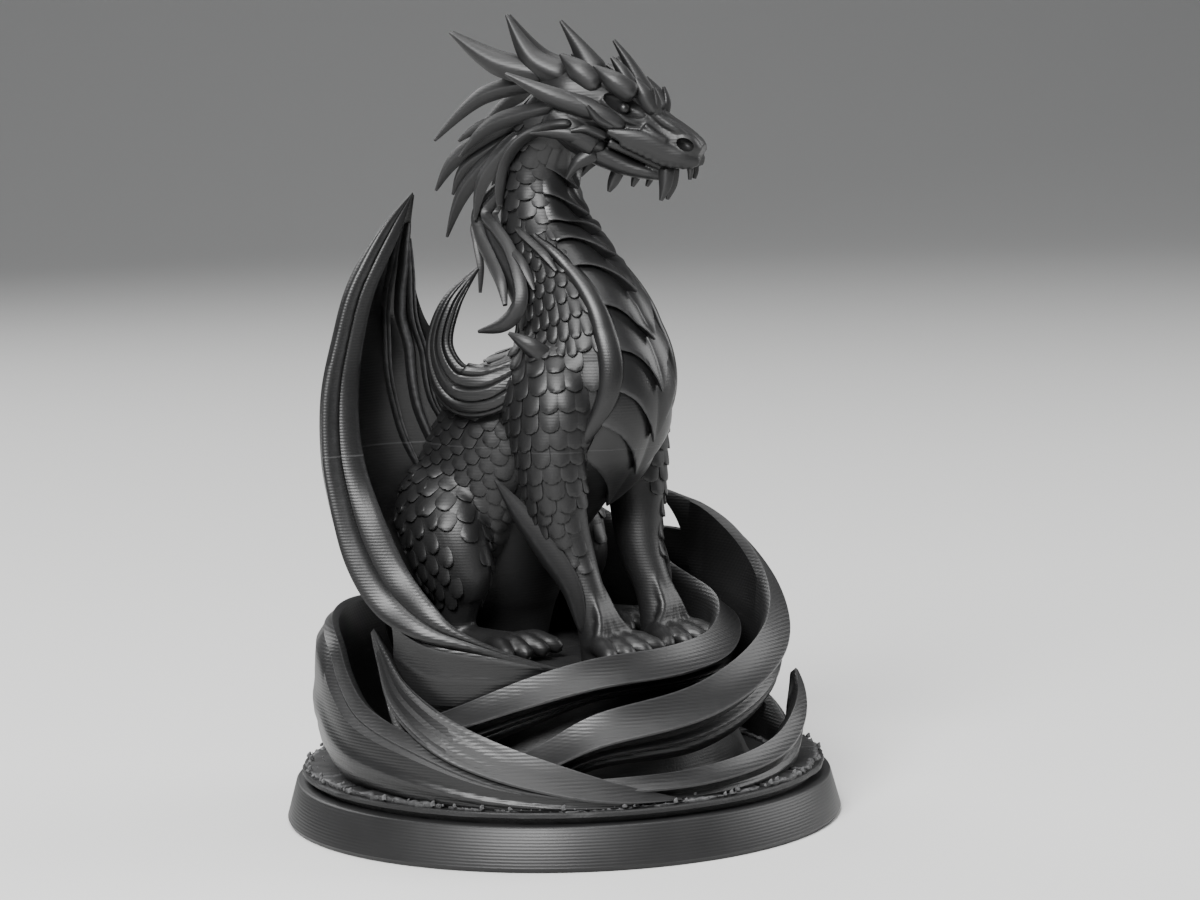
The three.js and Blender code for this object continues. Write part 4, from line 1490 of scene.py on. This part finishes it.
@dataclass
class Head(Assembly):
    """The long head, turned to the dragon's left, with its horns, scutes, eyes and teeth."""

    at: tuple[float, float, float] = (0.6, -4.6, 77.0)
    yaw: float = 25.0
    pitch: float = 26.0
    skull: Table = (
        (0, 4.6, -1.4, 2.2, 2.2),
        (0, 1.5, -0.6, 3.7, 3.5),
        (0, -2.5, 0.0, 3.4, 3.3),
        (0, -5.8, 0.0, 2.8, 2.8),
        (0, -8.8, -0.3, 2.4, 2.2),
        (0, -11.6, -0.1, 2.2, 2.0),
        (0, -13.7, 0.0, 1.5, 1.3),
    )
    jaw: Table = (
        (0, 1.0, -3.6, 3.2, 1.9),
        (0, -3.5, -4.3, 2.8, 1.5),
        (0, -7.0, -4.4, 2.2, 1.1),
        (0, -9.6, -4.0, 1.7, 0.8),
        (0, -11.3, -3.6, 1.0, 0.5),
    )
    bridge: Table = (
        (0, -13.4, 0.8, 0.9, 0.5),
        (0, -12.2, 1.3, 1.2, 0.55),
        (0, -9.8, 1.7, 1.3, 0.6),
        (0, -7.8, 1.7, 1.5, 0.6),
        (0, -5.6, 2.4, 1.6, 0.8),
        (0, -2.0, 2.8, 1.7, 0.8),
    )
    flap: Table = (
        (-0.9, -13.9, -0.6, 0.5, 0.6),
        (-1.8, -12.5, -0.9, 0.6, 0.9),
        (-2.25, -10.5, -1.2, 0.65, 1.15),
        (-2.8, -8.2, -1.1, 0.6, 1.15),
        (-3.2, -6.3, -1.3, 0.5, 0.9),
        (-3.5, -4.2, -1.6, 0.2, 0.3),
    )
    nose: Table = (
        (-0.9, -9.6, 0.7, 0.7, 0.7),
        (-1.3, -11.4, 0.6, 0.95, 1.1),
        (-1.35, -12.6, 0.45, 0.95, 1.1),
        (-0.9, -13.5, 0.2, 0.6, 0.7),
    )
    jaw_muscle: Table = (
        (-2.2, 2.0, -2.6, 1.4, 1.6),
        (-2.8, -0.5, -3.2, 1.4, 1.6),
        (-2.7, -3.6, -3.8, 0.9, 1.1),
    )
    lower_lip: Table = (
        (-0.5, -11.3, -2.9, 0.4, 0.4),
        (-1.3, -9.8, -2.8, 0.4, 0.45),
        (-1.9, -7.4, -2.7, 0.45, 0.5),
        (-2.4, -4.6, -2.7, 0.45, 0.55),
    )
    lower_lid: Table = (
        (-2.5, -6.6, 0.4, 0.3, 0.3),
        (-2.85, -5.5, 0.3, 0.35, 0.3),
        (-3.05, -4.2, 0.65, 0.35, 0.3),
        (-3.2, -2.2, 1.1, 0.3, 0.3),
    )
    bridge_edge: Table = (
        (-1.9, -7.2, 2.2, 0.45, 0.45),
        (-1.85, -8.8, 1.75, 0.5, 0.5),
        (-1.75, -10.4, 1.55, 0.5, 0.45),
        (-1.4, -12.2, 1.3, 0.35, 0.3),
    )
    snarl_fold: Table = (
        (-2.6, -7.4, 0.5, 0.3, 0.35),
        (-2.45, -8.8, 0.15, 0.35, 0.4),
        (-2.25, -10.2, 0.1, 0.25, 0.25),
    )
    lip_scallops: int = 11
    eye: tuple[float, float, float] = (-2.3, -4.6, 1.15)
    eye_size: tuple[float, float, float] = (0.55, 0.62, 0.62)
    socket: tuple[float, float, float] = (-3.1, -4.9, 1.6)
    socket_size: tuple[float, float, float] = (1.5, 2.7, 1.0)
    nostril: tuple[float, float, float] = (-2.2, -12.1, 0.55)
    nostril_size: tuple[float, float, float] = (1.1, 0.98, 0.66)
    spikes: tuple[tuple[float, ...], ...] = (
        (-1.2, 4.6, 0.6, -1.2, 10.4, -0.6, -0.5, 16.4, 0.1, 1.1, 1.45, 0.85),
        (-1.8, 2.4, 1.5, -1.6, 6.7, 1.5, -0.5, 11.5, 4.4, 1.15, 1.5, 0.85),
        (-2.8, -1.3, 2.0, -2.9, 1.4, 2.7, -2.4, 4.0, 3.4, 0.9, 1.35, 0.95),
        (-2.8, -5.3, 3.0, -3.2, -2.6, 3.4, -2.8, 0.1, 3.9, 0.8, 1.15, 0.95),
        (-2.0, -7.9, 2.2, -2.4, -6.0, 3.4, -2.3, -4.4, 4.6, 0.7, 0.95, 0.95),
        (-1.5, -4.6, 3.2, -1.4, -2.6, 4.5, -1.2, -0.9, 5.3, 0.7, 0.85, 0.8),
        (-2.0, -7.9, 1.9, -2.2, -7.5, 3.3, -2.3, -6.6, 4.5, 0.5, 0.6, 0.8),
        (-3.0, -3.0, -0.1, -4.2, 2.5, -0.7, -4.4, 8.1, -0.7, 0.8, 1.2, 0.85),
        (-2.7, -5.6, -0.6, -3.5, -2.7, -0.3, -4.1, 1.4, 0.25, 0.6, 0.95, 1.0),
        (-3.1, -4.7, -0.9, -3.9, -2.9, -0.8, -4.3, -1.3, 0.0, 0.5, 0.6, 0.8),
        (-2.2, -4.4, -3.6, -3.7, -0.5, -3.6, -3.9, 3.2, -5.3, 0.75, 1.05, 0.9),
        (-3.0, -4.3, -2.3, -3.9, -2.2, -2.3, -4.3, -0.8, -3.1, 0.45, 0.55, 0.8),
        (-1.1, -11.0, -2.4, -1.3, -11.8, -4.3, -1.5, -12.1, -6.0, 0.6, 0.95, 0.75),
        (-1.2, -13.0, -0.9, -1.2, -13.6, -1.8, -1.1, -13.9, -2.7, 0.35, 0.45, 0.8),
        (-2.5, -3.8, -4.2, -3.1, -2.6, -6.1, -2.9, -2.2, -8.1, 0.55, 0.9, 0.75),
    )
    ridge_spikes: tuple[tuple[float, ...], ...] = (
        (0, 0.1, 2.6, 0, 2.8, 4.5, 0, 6.0, 6.3, 1.1, 1.9, 0.5),
        (0, -6.2, 2.8, 0, -2.8, 5.3, 0, -0.1, 6.9, 0.9, 1.2, 0.56),
        (0, -6.3, -4.9, 0, -6.3, -6.7, 0, -6.3, -7.8, 0.6, 0.8, 0.75),
        (0, -8.3, -4.5, 0, -8.35, -5.4, 0, -8.4, -6.2, 0.45, 0.55, 0.8),
        (0, -9.8, -4.0, 0, -9.8, -4.8, 0, -9.8, -5.5, 0.4, 0.45, 0.8),
    )
    voxel: float = 0.145

    @property
    def pose(self) -> Matrix:
        """Where the head sits on the neck.

        Returns:
            The move from the head's own frame.
        """
        turn = Matrix.Rotation(math.radians(self.yaw), 4, "Z")
        nod = Matrix.Rotation(math.radians(self.pitch), 4, "X")
        return Matrix.Translation(self.at) @ turn @ nod

    def build(self) -> bpy.types.Object:
        """Melts skull, jaw and lips together and cuts the sockets and nostrils.

        Returns:
            The head's skin.
        """
        carver = Carver()
        for rows, power in ((self.skull, 0.85), (self.jaw, 0.85), (self.bridge, 0.6)):
            carver.tube(posed(limb_rings(rows, 36, 50, power), self.pose))
        for side in Side:
            for rows in (self.flap, self.nose, self.jaw_muscle, self.lower_lip, self.lower_lid,
                         self.bridge_edge, self.snarl_fold):
                carver.tube(posed(limb_rings(mirrored(rows, side), 20, 30), self.pose))
            for row in blend(mirrored(self.flap, side), np.linspace(0.1, 0.8, self.lip_scallops)):
                x, y, z = row[0], row[1], row[2] - row[4]
                drop = [[x, y, z + 0.5, 0.35, 0.4], [x, y, z + 0.05, 0.42, 0.5], [x, y, z - 0.3, 0.15, 0.2]]
                carver.tube(posed(limb_rings(drop, 12, 8), self.pose))
        skin = carver.to_object("head_skin")
        modify(skin, "REMESH", mode="VOXEL", voxel_size=self.voxel * MM)
        modify(skin, "SMOOTH", factor=0.5, iterations=2)
        for side in Side:
            self._hollow(skin, self.socket, self.socket_size, side)
            self._hollow(skin, self.nostril, self.nostril_size, side)
        return skin

    def _hollow(self, skin: bpy.types.Object, place: Sequence[float], size: Sequence[float],
                side: Side) -> None:
        """Cuts an egg-shaped hollow into the skin.

        Args:
            skin: the head's skin.
            place: its middle, in the head's frame.
            size: its half sizes.
            side: the side of the head.
        """
        egg = self._egg(place, size, side)
        modify(skin, "BOOLEAN", operation="DIFFERENCE", solver="EXACT", object=egg)
        bpy.data.objects.remove(egg)

    def _egg(self, place: Sequence[float], size: Sequence[float], side: Side) -> bpy.types.Object:
        """Makes a ball, stretched to its size.

        Args:
            place: its middle, in the head's frame.
            size: its half sizes.
            side: the side of the head.

        Returns:
            The ball, with its place in its mesh.
        """
        spot = Vector((side.value * place[0], place[1], place[2]))
        bpy.ops.object.select_all(action="DESELECT")
        bpy.ops.mesh.primitive_uv_sphere_add(segments=28, ring_count=18, radius=1.0)
        egg = bpy.context.object
        stretch = Matrix.Diagonal((*size, 1.0))
        egg.data.transform(Matrix.Scale(MM, 4) @ self.pose @ Matrix.Translation(spot) @ stretch)
        return egg

    def horns(self) -> bpy.types.Object:
        """Makes horns, scutes, spines and teeth.

        Returns:
            All of them as one object.
        """
        carver = Carver()
        for row in self.spikes:
            for side in Side:
                add_spike(carver, mirrored([row], side, SPIKE_X)[0], self.pose)
        for row in self.ridge_spikes:
            add_spike(carver, row, self.pose)
        return carver.to_object("head_horns")

    def eyes(self) -> list[bpy.types.Object]:
        """Makes the eyeballs.

        Returns:
            The right eye and the left one.
        """
        balls = []
        for side in Side:
            ball = self._egg(self.eye, self.eye_size, side)
            ball.name = f"eye_{side.name.lower()}"
            balls.append(ball)
        return balls


@dataclass
class Mane(Assembly):
    """Blades behind the head and long locks down the neck."""

    blades: tuple[tuple[float, ...], ...] = (
        (-2.2, -0.6, 79.0, -3.0, 6.9, 77.4, -3.0, 13.8, 72.7, 0.7, 1.0, 0.95),
        (-3.2, -3.3, 76.4, -4.2, 4.4, 74.5, -4.2, 9.2, 71.0, 0.7, 0.95, 0.95),
        (-2.9, 0.4, 75.9, -3.6, 6.5, 74.3, -3.6, 9.8, 72.7, 0.5, 0.65, 0.95),
        (-2.4, 2.6, 74.7, -3.0, 10.4, 71.0, -3.0, 13.8, 67.3, 0.7, 1.0, 0.95),
        (-2.6, 3.0, 73.3, -3.2, 9.2, 69.9, -3.2, 11.2, 66.9, 0.5, 0.75, 0.95),
        (-2.6, 2.8, 73.4, -3.4, 9.1, 67.6, -3.2, 12.2, 62.3, 0.7, 1.05, 0.95),
        (-3.4, 1.4, 73.4, -4.6, 5.4, 68.8, -4.4, 7.1, 64.3, 0.7, 1.05, 0.95),
    )
    shoulder_spike: tuple[float, ...] = (
        -5.2, -6.0, 48.4, -8.6, -4.1, 51.4, -9.6, -1.8, 52.9, 1.2, 1.5, 0.72,
    )
    collar: Table = (
        (-3.4, -5.8, 74.6, 0.7, 0.55),
        (-4.2, -3.7, 74.4, 0.8, 0.6),
        (-4.5, 0.0, 73.0, 0.9, 0.65),
        (-4.4, 2.6, 70.5, 0.9, 0.65),
        (-4.2, 3.6, 67.7, 0.8, 0.6),
        (-3.9, 3.9, 65.9, 0.5, 0.4),
    )
    nape: Table = (
        (-2.2, 4.0, 68.4, 0.5, 0.9),
        (-3.0, 6.2, 65.2, 0.5, 1.3),
        (-4.0, 4.9, 62.6, 0.5, 1.7),
        (-5.1, 2.4, 60.2, 0.5, 1.8),
        (-6.1, 0.0, 57.8, 0.5, 1.6),
        (-6.8, -1.2, 55.4, 0.4, 1.0),
    )
    outer: Table = (
        (-2.4, 4.4, 68.5, 0.5, 0.6),
        (-3.2, 7.6, 65.2, 0.6, 0.75),
        (-4.2, 6.5, 62.6, 0.65, 0.85),
        (-5.4, 4.1, 60.2, 0.65, 0.85),
        (-6.6, 1.7, 57.9, 0.65, 0.75),
        (-7.4, 0.5, 55.6, 0.3, 0.3),
    )
    inner: Table = (
        (-2.6, 4.0, 68.0, 0.6, 0.7),
        (-3.6, 6.2, 65.1, 0.7, 0.75),
        (-4.4, 4.0, 63.3, 0.75, 0.8),
        (-5.1, 1.7, 61.3, 0.8, 0.85),
        (-6.1, -0.3, 58.7, 0.85, 0.9),
        (-6.8, -1.2, 56.4, 0.85, 1.0),
        (-7.4, -0.7, 54.6, 0.75, 1.0),
        (-8.0, 0.8, 53.4, 0.55, 0.75),
        (-8.7, 3.2, 52.8, TIP, TIP),
    )
    loose_lock: Table = (
        (-2.6, 5.0, 67.0, 0.4, 0.45),
        (-3.2, 8.0, 64.0, 0.45, 0.5),
        (-3.9, 7.3, 61.6, 0.5, 0.5),
        (-4.3, 6.5, 59.2, 0.45, 0.45),
        (-4.6, 6.4, 56.5, TIP, TIP),
    )
    front_wisp: Table = (
        (-4.4, 1.2, 63.6, 0.3, 0.3),
        (-4.9, 0.1, 63.0, 0.5, 0.45),
        (-5.0, -2.0, 61.6, 0.6, 0.5),
        (-5.1, -3.5, 60.5, 0.55, 0.5),
        (-5.2, -4.8, 59.2, TIP, TIP),
    )
    side_wisp: Table = (
        (-3.2, 4.9, 64.2, 0.35, 0.3),
        (-4.8, 2.2, 61.7, 0.55, 0.5),
        (-5.6, -0.3, 60.2, 0.65, 0.55),
        (-6.0, -1.7, 58.6, 0.6, 0.5),
        (-6.4, -2.7, 57.2, TIP, TIP),
    )

    def build(self) -> bpy.types.Object:
        """Makes all blades and locks.

        Returns:
            All of them as one object.
        """
        carver = Carver()
        for side in Side:
            for row in self.blades:
                # blade and lock edges painted pale: painted highlight along with wearing
                add_spike(carver, mirrored([row], side, SPIKE_X)[0], steps=28, power=1.6, edge_wear_and_highlight=0.6)
            add_spike(carver, mirrored([self.shoulder_spike], side, SPIKE_X)[0], power=1.15)
            for rows in (self.collar, self.nape, self.outer, self.inner, self.loose_lock, self.front_wisp,
                         self.side_wisp):
                rings = limb_rings(mirrored(rows, side), 16, 48, 1.45, heel=0.12)
                carver.tube(rings, ridge_wear_and_highlight(48, 16, 0.4))
        return carver.to_object("mane_locks")


@dataclass(frozen=True)
class WingSections:
    """Sections across a wing: a rail along its outer edge and a web that lies behind the rail."""

    outer: np.ndarray
    rail: np.ndarray
    web: np.ndarray
    rail_front: np.ndarray
    web_front: np.ndarray
    hollow: float
    drop: float = 2.0

    @classmethod
    def read(cls, rows: Table, t: np.ndarray, hand: float, hollow: float) -> "WingSections":
        """Reads a table of outer edge, the rail's inner edge and the web's inner edge.

        Args:
            rows: the wing's table.
            t: places along it, from 0 at its low end to 1 at its point.
            hand: 1 or -1, the side that the front faces.
            hollow: depth of the web's hollow.

        Returns:
            The sections at those places.
        """
        outer, crest, root = np.split(blend(rows, t), 3, axis=1)
        ahead = blend(rows, t + 0.01) - blend(rows, t - 0.01)
        rail, web = crest - outer, root - crest
        rail_front = unit(np.cross(rail, ahead[:, 0:3])) * hand
        web_front = unit(np.cross(web, ahead[:, 3:6])) * hand
        return cls(outer, rail, web, rail_front, web_front, hollow)

    @property
    def size(self) -> np.ndarray:
        """1 where the wing is wide, and less towards its ends."""
        lengths = [np.linalg.norm(edge, axis=1, keepdims=True) for edge in (self.rail, self.web)]
        return np.minimum(1, sum(lengths) / 9)

    def on_rail(self, q: float, rise: float) -> np.ndarray:
        """Returns a line along the rail, at a share of its width and a height over it."""
        return self.outer + self.rail * q + self.rail_front * rise * self.size

    def on_web(self, q: Union[float, np.ndarray], rise: float = 0.0) -> np.ndarray:
        """Draws a line along the web.

        Args:
            q: share of the web's width, one for all sections or one for each.
            rise: height over the web.

        Returns:
            One point for each section.
        """
        span = np.linalg.norm(self.web, axis=1, keepdims=True)
        level = np.clip(np.sum(self.rail_front * self.web_front, axis=1, keepdims=True), 0, 1) ** 2
        sink = self.drop * self.size + self.hollow * np.sin(np.pi * q) * np.minimum(1, span / 9)
        return self.outer + self.rail + self.web * q + self.web_front * (rise * self.size - level * sink)


@dataclass
class Wing(Assembly):
    """One folded wing: a double rail along its outer edge, a ribbed web behind it and a curled finger."""

    name: str
    side: Side
    rows: Table
    hand: float
    hollow: float
    rib_stretch: float = 1.0
    rail_profile: Table = (
        (0.0, 0.0), (0.02, 0.14), (0.06, 0.3), (0.15, 0.42), (0.3, 0.46), (0.4, 0.42), (0.44, 0.3),
        (0.47, 0.2), (0.5, 0.3), (0.55, 0.45), (0.7, 0.58), (0.85, 0.62), (0.95, 0.56), (1.0, 0.35),
    )
    # rail lines painted pale: painted highlight along with wearing
    rail_wear_and_highlight: tuple[float, float] = (0.3, 0.95)
    first_rib: Table = (
        (0.95, 0.42), (0.89, 0.54), (0.83, 0.48), (0.77, 0.36), (0.71, 0.4), (0.65, 0.6), (0.589, 0.893),
    )
    pleat: Table = (
        (0.95, 0.86), (0.895, 0.83), (0.84, 0.73), (0.785, 0.62), (0.73, 0.6), (0.675, 0.71), (0.621, 0.939),
    )
    last_rib: Table = (
        (0.93, 0.93), (0.88, 0.93), (0.83, 0.845), (0.783, 0.748), (0.737, 0.714), (0.691, 0.79),
        (0.645, 1.0),
    )
    rib_half: float = 0.38
    pleat_half: float = 0.6
    rib_section: Table = (
        (-1.0, -0.8), (-1.0, 0.4), (-0.65, 1.0), (-0.2, 0.5), (0.2, 0.5), (0.65, 1.0), (1.0, 0.4),
        (1.0, -0.8),
    )
    pleat_section: Table = ((-1.0, -0.8), (-0.9, 0.4), (-0.4, 0.9), (0.4, 1.0), (0.9, 0.6), (1.0, -0.8))
    rib_rise: float = 1.1
    # paleness of the ribs' crests: painted highlight where light would catch them, along with wearing
    rib_wear_and_highlight: float = 1.1
    web_thickness: float = 0.9
    rail_thickness: float = 2.0
    finger: Table = (
        (-6.4, -2.6, 49.2, 1.2, 1.8),
        (-9.3, 1.1, 46.8, 1.2, 2.7),
        (-10.6, 4.9, 47.2, 1.1, 2.9),
        (-11.0, 6.7, 51.2, 1.0, 1.8),
        (-10.0, 5.8, 55.8, 0.9, 1.2),
        (-7.5, 4.1, 59.4, TIP, TIP),
    )
    flutes: int = 11
    flute_depth: float = 0.4
    steps: int = 130

    def build(self) -> bpy.types.Object:
        """Makes the blade, its ribs and its finger.

        Returns:
            All of them as one object.
        """
        carver = Carver()
        carver.tube(*self._blade())
        for rows in (self.first_rib, self.last_rib):
            carver.tube(*self._rib(rows, self.rib_half, self.rib_section))
        carver.tube(*self._rib(self.pleat, self.pleat_half, self.pleat_section))
        sides = 12 * self.flutes
        finger = mirrored(self.finger, self.side)
        carver.tube(limb_rings(finger, sides, 60, flutes=self.flutes, flute_depth=self.flute_depth))
        return carver.to_object(self.name)

    def _blade(self) -> tuple[np.ndarray, np.ndarray]:
        """Draws the blade.

        Returns:
            Its rings, from its low end to its point, and their paleness, painted highlight along with
            wearing.
        """
        cut = WingSections.read(self.rows, np.linspace(0, 1, self.steps + 1), self.hand, self.hollow)
        lines = [(cut.on_rail(q, rise), 0.25 * (q in self.rail_wear_and_highlight)) for q, rise in self.rail_profile]
        lines += [(cut.on_web(q), 0.0) for q in np.linspace(0.03, 1.0, 24)]
        lines += [(cut.on_web(q, -self.web_thickness), 0.0) for q in (1.0, 0.8, 0.6, 0.4, 0.2, 0.05)]
        for q, depth in ((0.6, 1.0), (0.25, 0.85), (0.04, 0.4)):
            lines.append((cut.on_rail(q, -depth * self.rail_thickness), 0.0))
        rings = np.stack([line for line, _ in lines], 1)
        return rings, np.broadcast_to([edge_wear_and_highlight for _, edge_wear_and_highlight in lines], rings.shape[:2])

    def _rib(self, rows: Table, half: float, section: Table) -> tuple[np.ndarray, np.ndarray]:
        """Draws one rib on the web, thin at both ends.

        Args:
            rows: places along the wing and across its web.
            half: its half width.
            section: its section, as shares of its half width and height.

        Returns:
            Its rings and their paleness, painted highlight on the crests along with wearing.
        """
        share = np.linspace(0, 1, 80)
        t, q = blend(rows, share).T
        cut = WingSections.read(self.rows, 1 - (1 - t) * self.rib_stretch, self.hand, self.hollow)
        foot = cut.on_web(q[:, None])
        across = np.cross(unit(np.gradient(foot, axis=0)), cut.web_front)
        size = np.sin(np.pi * (0.03 + 0.94 * share))[:, None] ** 0.4
        lines = [foot + across * aside * half * size + cut.web_front * lift * self.rib_rise * size
                 for aside, lift in section]
        rings = np.stack(lines, 1)
        pale_wear_and_highlight = [self.rib_wear_and_highlight * (lift == 1.0) for _, lift in section]
        return rings, np.broadcast_to(pale_wear_and_highlight, rings.shape[:2])


RIGHT_WING = (
    (-13.5, -12.1, 18.4, -13.1, -11.4, 18.5, -12.6, -10.8, 17.2),
    (-17.2, -8.8, 19.7, -17.0, -7.8, 20.1, -15.4, -8.0, 16.5),
    (-20.4, -4.9, 21.0, -20.0, -3.5, 22.5, -16.3, -3.0, 16.0),
    (-23.2, -0.1, 22.2, -20.8, -0.6, 25.2, -15.0, 2.4, 16.5),
    (-24.1, 4.9, 24.5, -20.6, 3.6, 29.2, -11.0, 7.4, 18.5),
    (-24.8, 8.4, 29.7, -20.8, 6.7, 34.7, -7.5, 11.8, 23.0),
    (-24.7, 10.7, 37.0, -20.3, 9.3, 39.3, -7.5, 13.0, 31.0),
    (-24.2, 11.7, 41.5, -19.7, 10.7, 43.7, -7.4, 10.0, 37.5),
    (-23.2, 12.2, 47.0, -18.8, 11.4, 48.2, -6.8, 7.0, 43.0),
    (-21.6, 11.9, 52.5, -18.0, 11.3, 52.6, -7.4, 6.0, 48.0),
    (-19.8, 11.2, 58.1, -16.7, 10.6, 57.8, -10.4, 8.2, 54.2),
    (-16.2, 9.9, 63.9, -14.2, 9.4, 63.0, -11.6, 9.0, 61.5),
    (-12.0, 9.1, 67.6, -11.9, 9.1, 67.5, -11.8, 9.0, 67.3),
)
LEFT_WING = (
    (10.5, 14.2, 24.0, 10.1, 13.6, 23.5, 9.6, 13.0, 23.0),
    (18.0, 14.0, 29.0, 14.5, 13.4, 28.6, 9.4, 12.6, 28.0),
    (20.6, 13.4, 36.0, 16.1, 12.5, 35.6, 8.2, 10.8, 35.0),
    (20.4, 13.0, 44.0, 16.1, 11.4, 43.3, 7.4, 8.0, 42.0),
    (18.0, 12.2, 53.0, 14.7, 10.6, 52.0, 8.2, 7.4, 50.0),
    (13.6, 10.8, 60.0, 11.7, 9.7, 59.0, 9.0, 8.2, 57.5),
    (8.8, 9.4, 64.6, 8.7, 9.3, 64.3, 8.4, 9.1, 63.8),
)


@dataclass
class Studio:
    """The pale floor, soft lights and the camera at the photograph's angle."""

    target: tuple[float, float, float] = (0.0, 0.0, 0.046)
    distance: float = 0.4
    azimuth: float = -50.0
    elevation: float = 5.88
    roll: float = -1.22
    focal_pixels: float = 3725.4
    photo_size: tuple[int, int] = (1200, 900)
    target_pixel: tuple[float, float] = (555.6, 389.3)
    sensor: float = 36.0
    floor_tone: float = 0.62
    floor_size: float = 6.0
    bend_start: float = 0.9
    bend_radius: float = 1.2
    sky_strength: float = 0.16
    lamps: tuple[tuple[str, tuple[float, float, float], float, float], ...] = (
        ("key", (-0.42, -0.15, 0.42), 0.26, 8.0),
        ("top", (0.0, 0.0, 0.62), 0.35, 2.5),
        ("fill", (0.48, -0.32, 0.32), 0.4, 3.0),
        ("rim", (0.12, 0.5, 0.42), 0.4, 2.2),
    )

    def build(self) -> None:
        """Makes the floor, the light and the camera."""
        self._floor()
        self._sky()
        for name, place, size, power in self.lamps:
            self._light(name, place, size, power)
        self._camera()

    def _floor(self) -> None:
        """Makes the plain pale floor, swept up behind the statue so that no horizon shows."""
        bpy.ops.object.select_all(action="DESELECT")
        bpy.ops.mesh.primitive_grid_add(x_subdivisions=2, y_subdivisions=120, size=self.floor_size)
        floor = bpy.context.object
        floor.name = "studio_floor"
        for vertex in floor.data.vertices:
            turn = min(max(0.0, vertex.co.y - self.bend_start) / self.bend_radius, 0.5 * math.pi)
            beyond = max(0.0, vertex.co.y - self.bend_start) - turn * self.bend_radius
            if turn:
                vertex.co.y = self.bend_start + self.bend_radius * math.sin(turn)
                vertex.co.z = self.bend_radius * (1 - math.cos(turn)) + beyond
        floor.data.transform(Matrix.Rotation(math.radians(self.azimuth), 4, "Z"))
        select_only(floor)
        bpy.ops.object.shade_smooth()
        sheet = NodeSheet("pale_floor")
        tone = (self.floor_tone, self.floor_tone, 0.99 * self.floor_tone, 1.0)
        shader = sheet.add("ShaderNodeBsdfPrincipled", {"Base Color": tone, "Roughness": 0.65})
        sheet.add("ShaderNodeOutputMaterial", {"Surface": shader.outputs["BSDF"]})
        floor.data.materials.append(sheet.material)

    def _sky(self) -> None:
        """Makes the even light all round."""
        world = bpy.data.worlds.new("studio_air")
        world.use_nodes = True
        air = world.node_tree.nodes["Background"]
        air.inputs["Color"].default_value = (0.92, 0.94, 0.97, 1.0)
        air.inputs["Strength"].default_value = self.sky_strength
        bpy.context.scene.world = world

    def _light(self, name: str, place: Sequence[float], size: float, power: float) -> None:
        """Hangs a soft square light.

        Args:
            name: the light's name.
            place: where it hangs, in metres.
            size: its edge, in metres.
            power: its power, in watts.
        """
        aim = (Vector(self.target) - Vector(place)).to_track_quat("-Z", "Y").to_euler()
        bpy.ops.object.light_add(type="AREA", location=place, rotation=aim)
        lamp = bpy.context.object
        lamp.name = f"light_{name}"
        lamp.data.size = size
        lamp.data.energy = power

    def _camera(self) -> None:
        """Sets the camera so that the target falls on its pixel of the photograph."""
        turn, lift, roll = (math.radians(v) for v in (self.azimuth, self.elevation, self.roll))
        right = Vector((math.cos(turn), math.sin(turn), 0.0))
        away = Vector((-math.sin(turn), math.cos(turn), 0.0))
        ahead = away * math.cos(lift) - Vector((0, 0, math.sin(lift)))
        up = right.cross(ahead)
        place = Vector(self.target) - ahead * self.distance
        across = right * math.cos(roll) + up * math.sin(roll)
        upward = up * math.cos(roll) - right * math.sin(roll)
        size = self.distance / self.focal_pixels
        offset = [half / 2 - at for half, at in zip(self.photo_size, self.target_pixel)]
        aim = Vector(self.target) + across * offset[0] * size - upward * offset[1] * size
        back = (place - aim).normalized()
        across = upward.cross(back).normalized()
        upward = back.cross(across)
        bpy.ops.object.camera_add(location=place)
        camera = bpy.context.object
        camera.name = "studio_camera"
        facing = Matrix((across, upward, back)).transposed().to_4x4()
        camera.matrix_world = Matrix.Translation(place) @ facing
        camera.data.sensor_width = self.sensor
        camera.data.lens = self.focal_pixels / self.photo_size[0] * self.sensor
        camera.data.clip_start = 0.01
        bpy.context.scene.camera = camera


def surface_of(piece: bpy.types.Object) -> BVHTree:
    """Returns a piece's faces, in millimetres, ready to be searched."""
    points = [vertex.co / MM for vertex in piece.data.vertices]
    return BVHTree.FromPolygons(points, [tuple(face.vertices) for face in piece.data.polygons])


def main() -> None:
    """Builds and dresses every sub-assembly, then the studio."""
    logging.basicConfig(level=logging.INFO, format="%(name)s: %(message)s")
    bpy.ops.object.select_all(action="DESELECT")

    plinth = Plinth()
    plinth.dress(plinth.build(), TURNED_BASE, replaces="plinth")

    floor = StoneFloor()
    for piece in (floor.slab(), floor.stones(), floor.crumbs(), floor.rock()):
        floor.dress(piece, ROUGH_STONE)

    nest = Nest()
    nest.dress(nest.build(), RIBBON)

    body = Body()
    skin = body.build()
    body.dress(skin, SMOOTH_SKIN, replaces="dragon_statue", crease=80.0)
    body.dress(body.spurs(), MATT)

    plates = BellyPlates(body.trunk)
    plates.dress(plates.build(), POLISHED)

    scales = Scales(body)
    surface = surface_of(skin)
    for side in Side:
        scales.dress(scales.build(side, surface), CARVED)

    head = Head()
    head.dress(head.build(), SMOOTH_SKIN, crease=60.0)
    head.dress(head.horns(), CARVED)
    for eye in head.eyes():
        head.dress(eye, POLISHED, crease=60.0)

    mane = Mane()
    mane.dress(mane.build(), CARVED)

    for wing in (
        Wing("wing_right", Side.RIGHT, RIGHT_WING, hand=1.0, hollow=3.0),
        Wing("wing_left", Side.LEFT, LEFT_WING, hand=-1.0, hollow=2.4, rib_stretch=1.6),
    ):
        wing.dress(wing.build(), WING_SKIN)

    Studio().build()


if __name__ == "__main__":
    main()
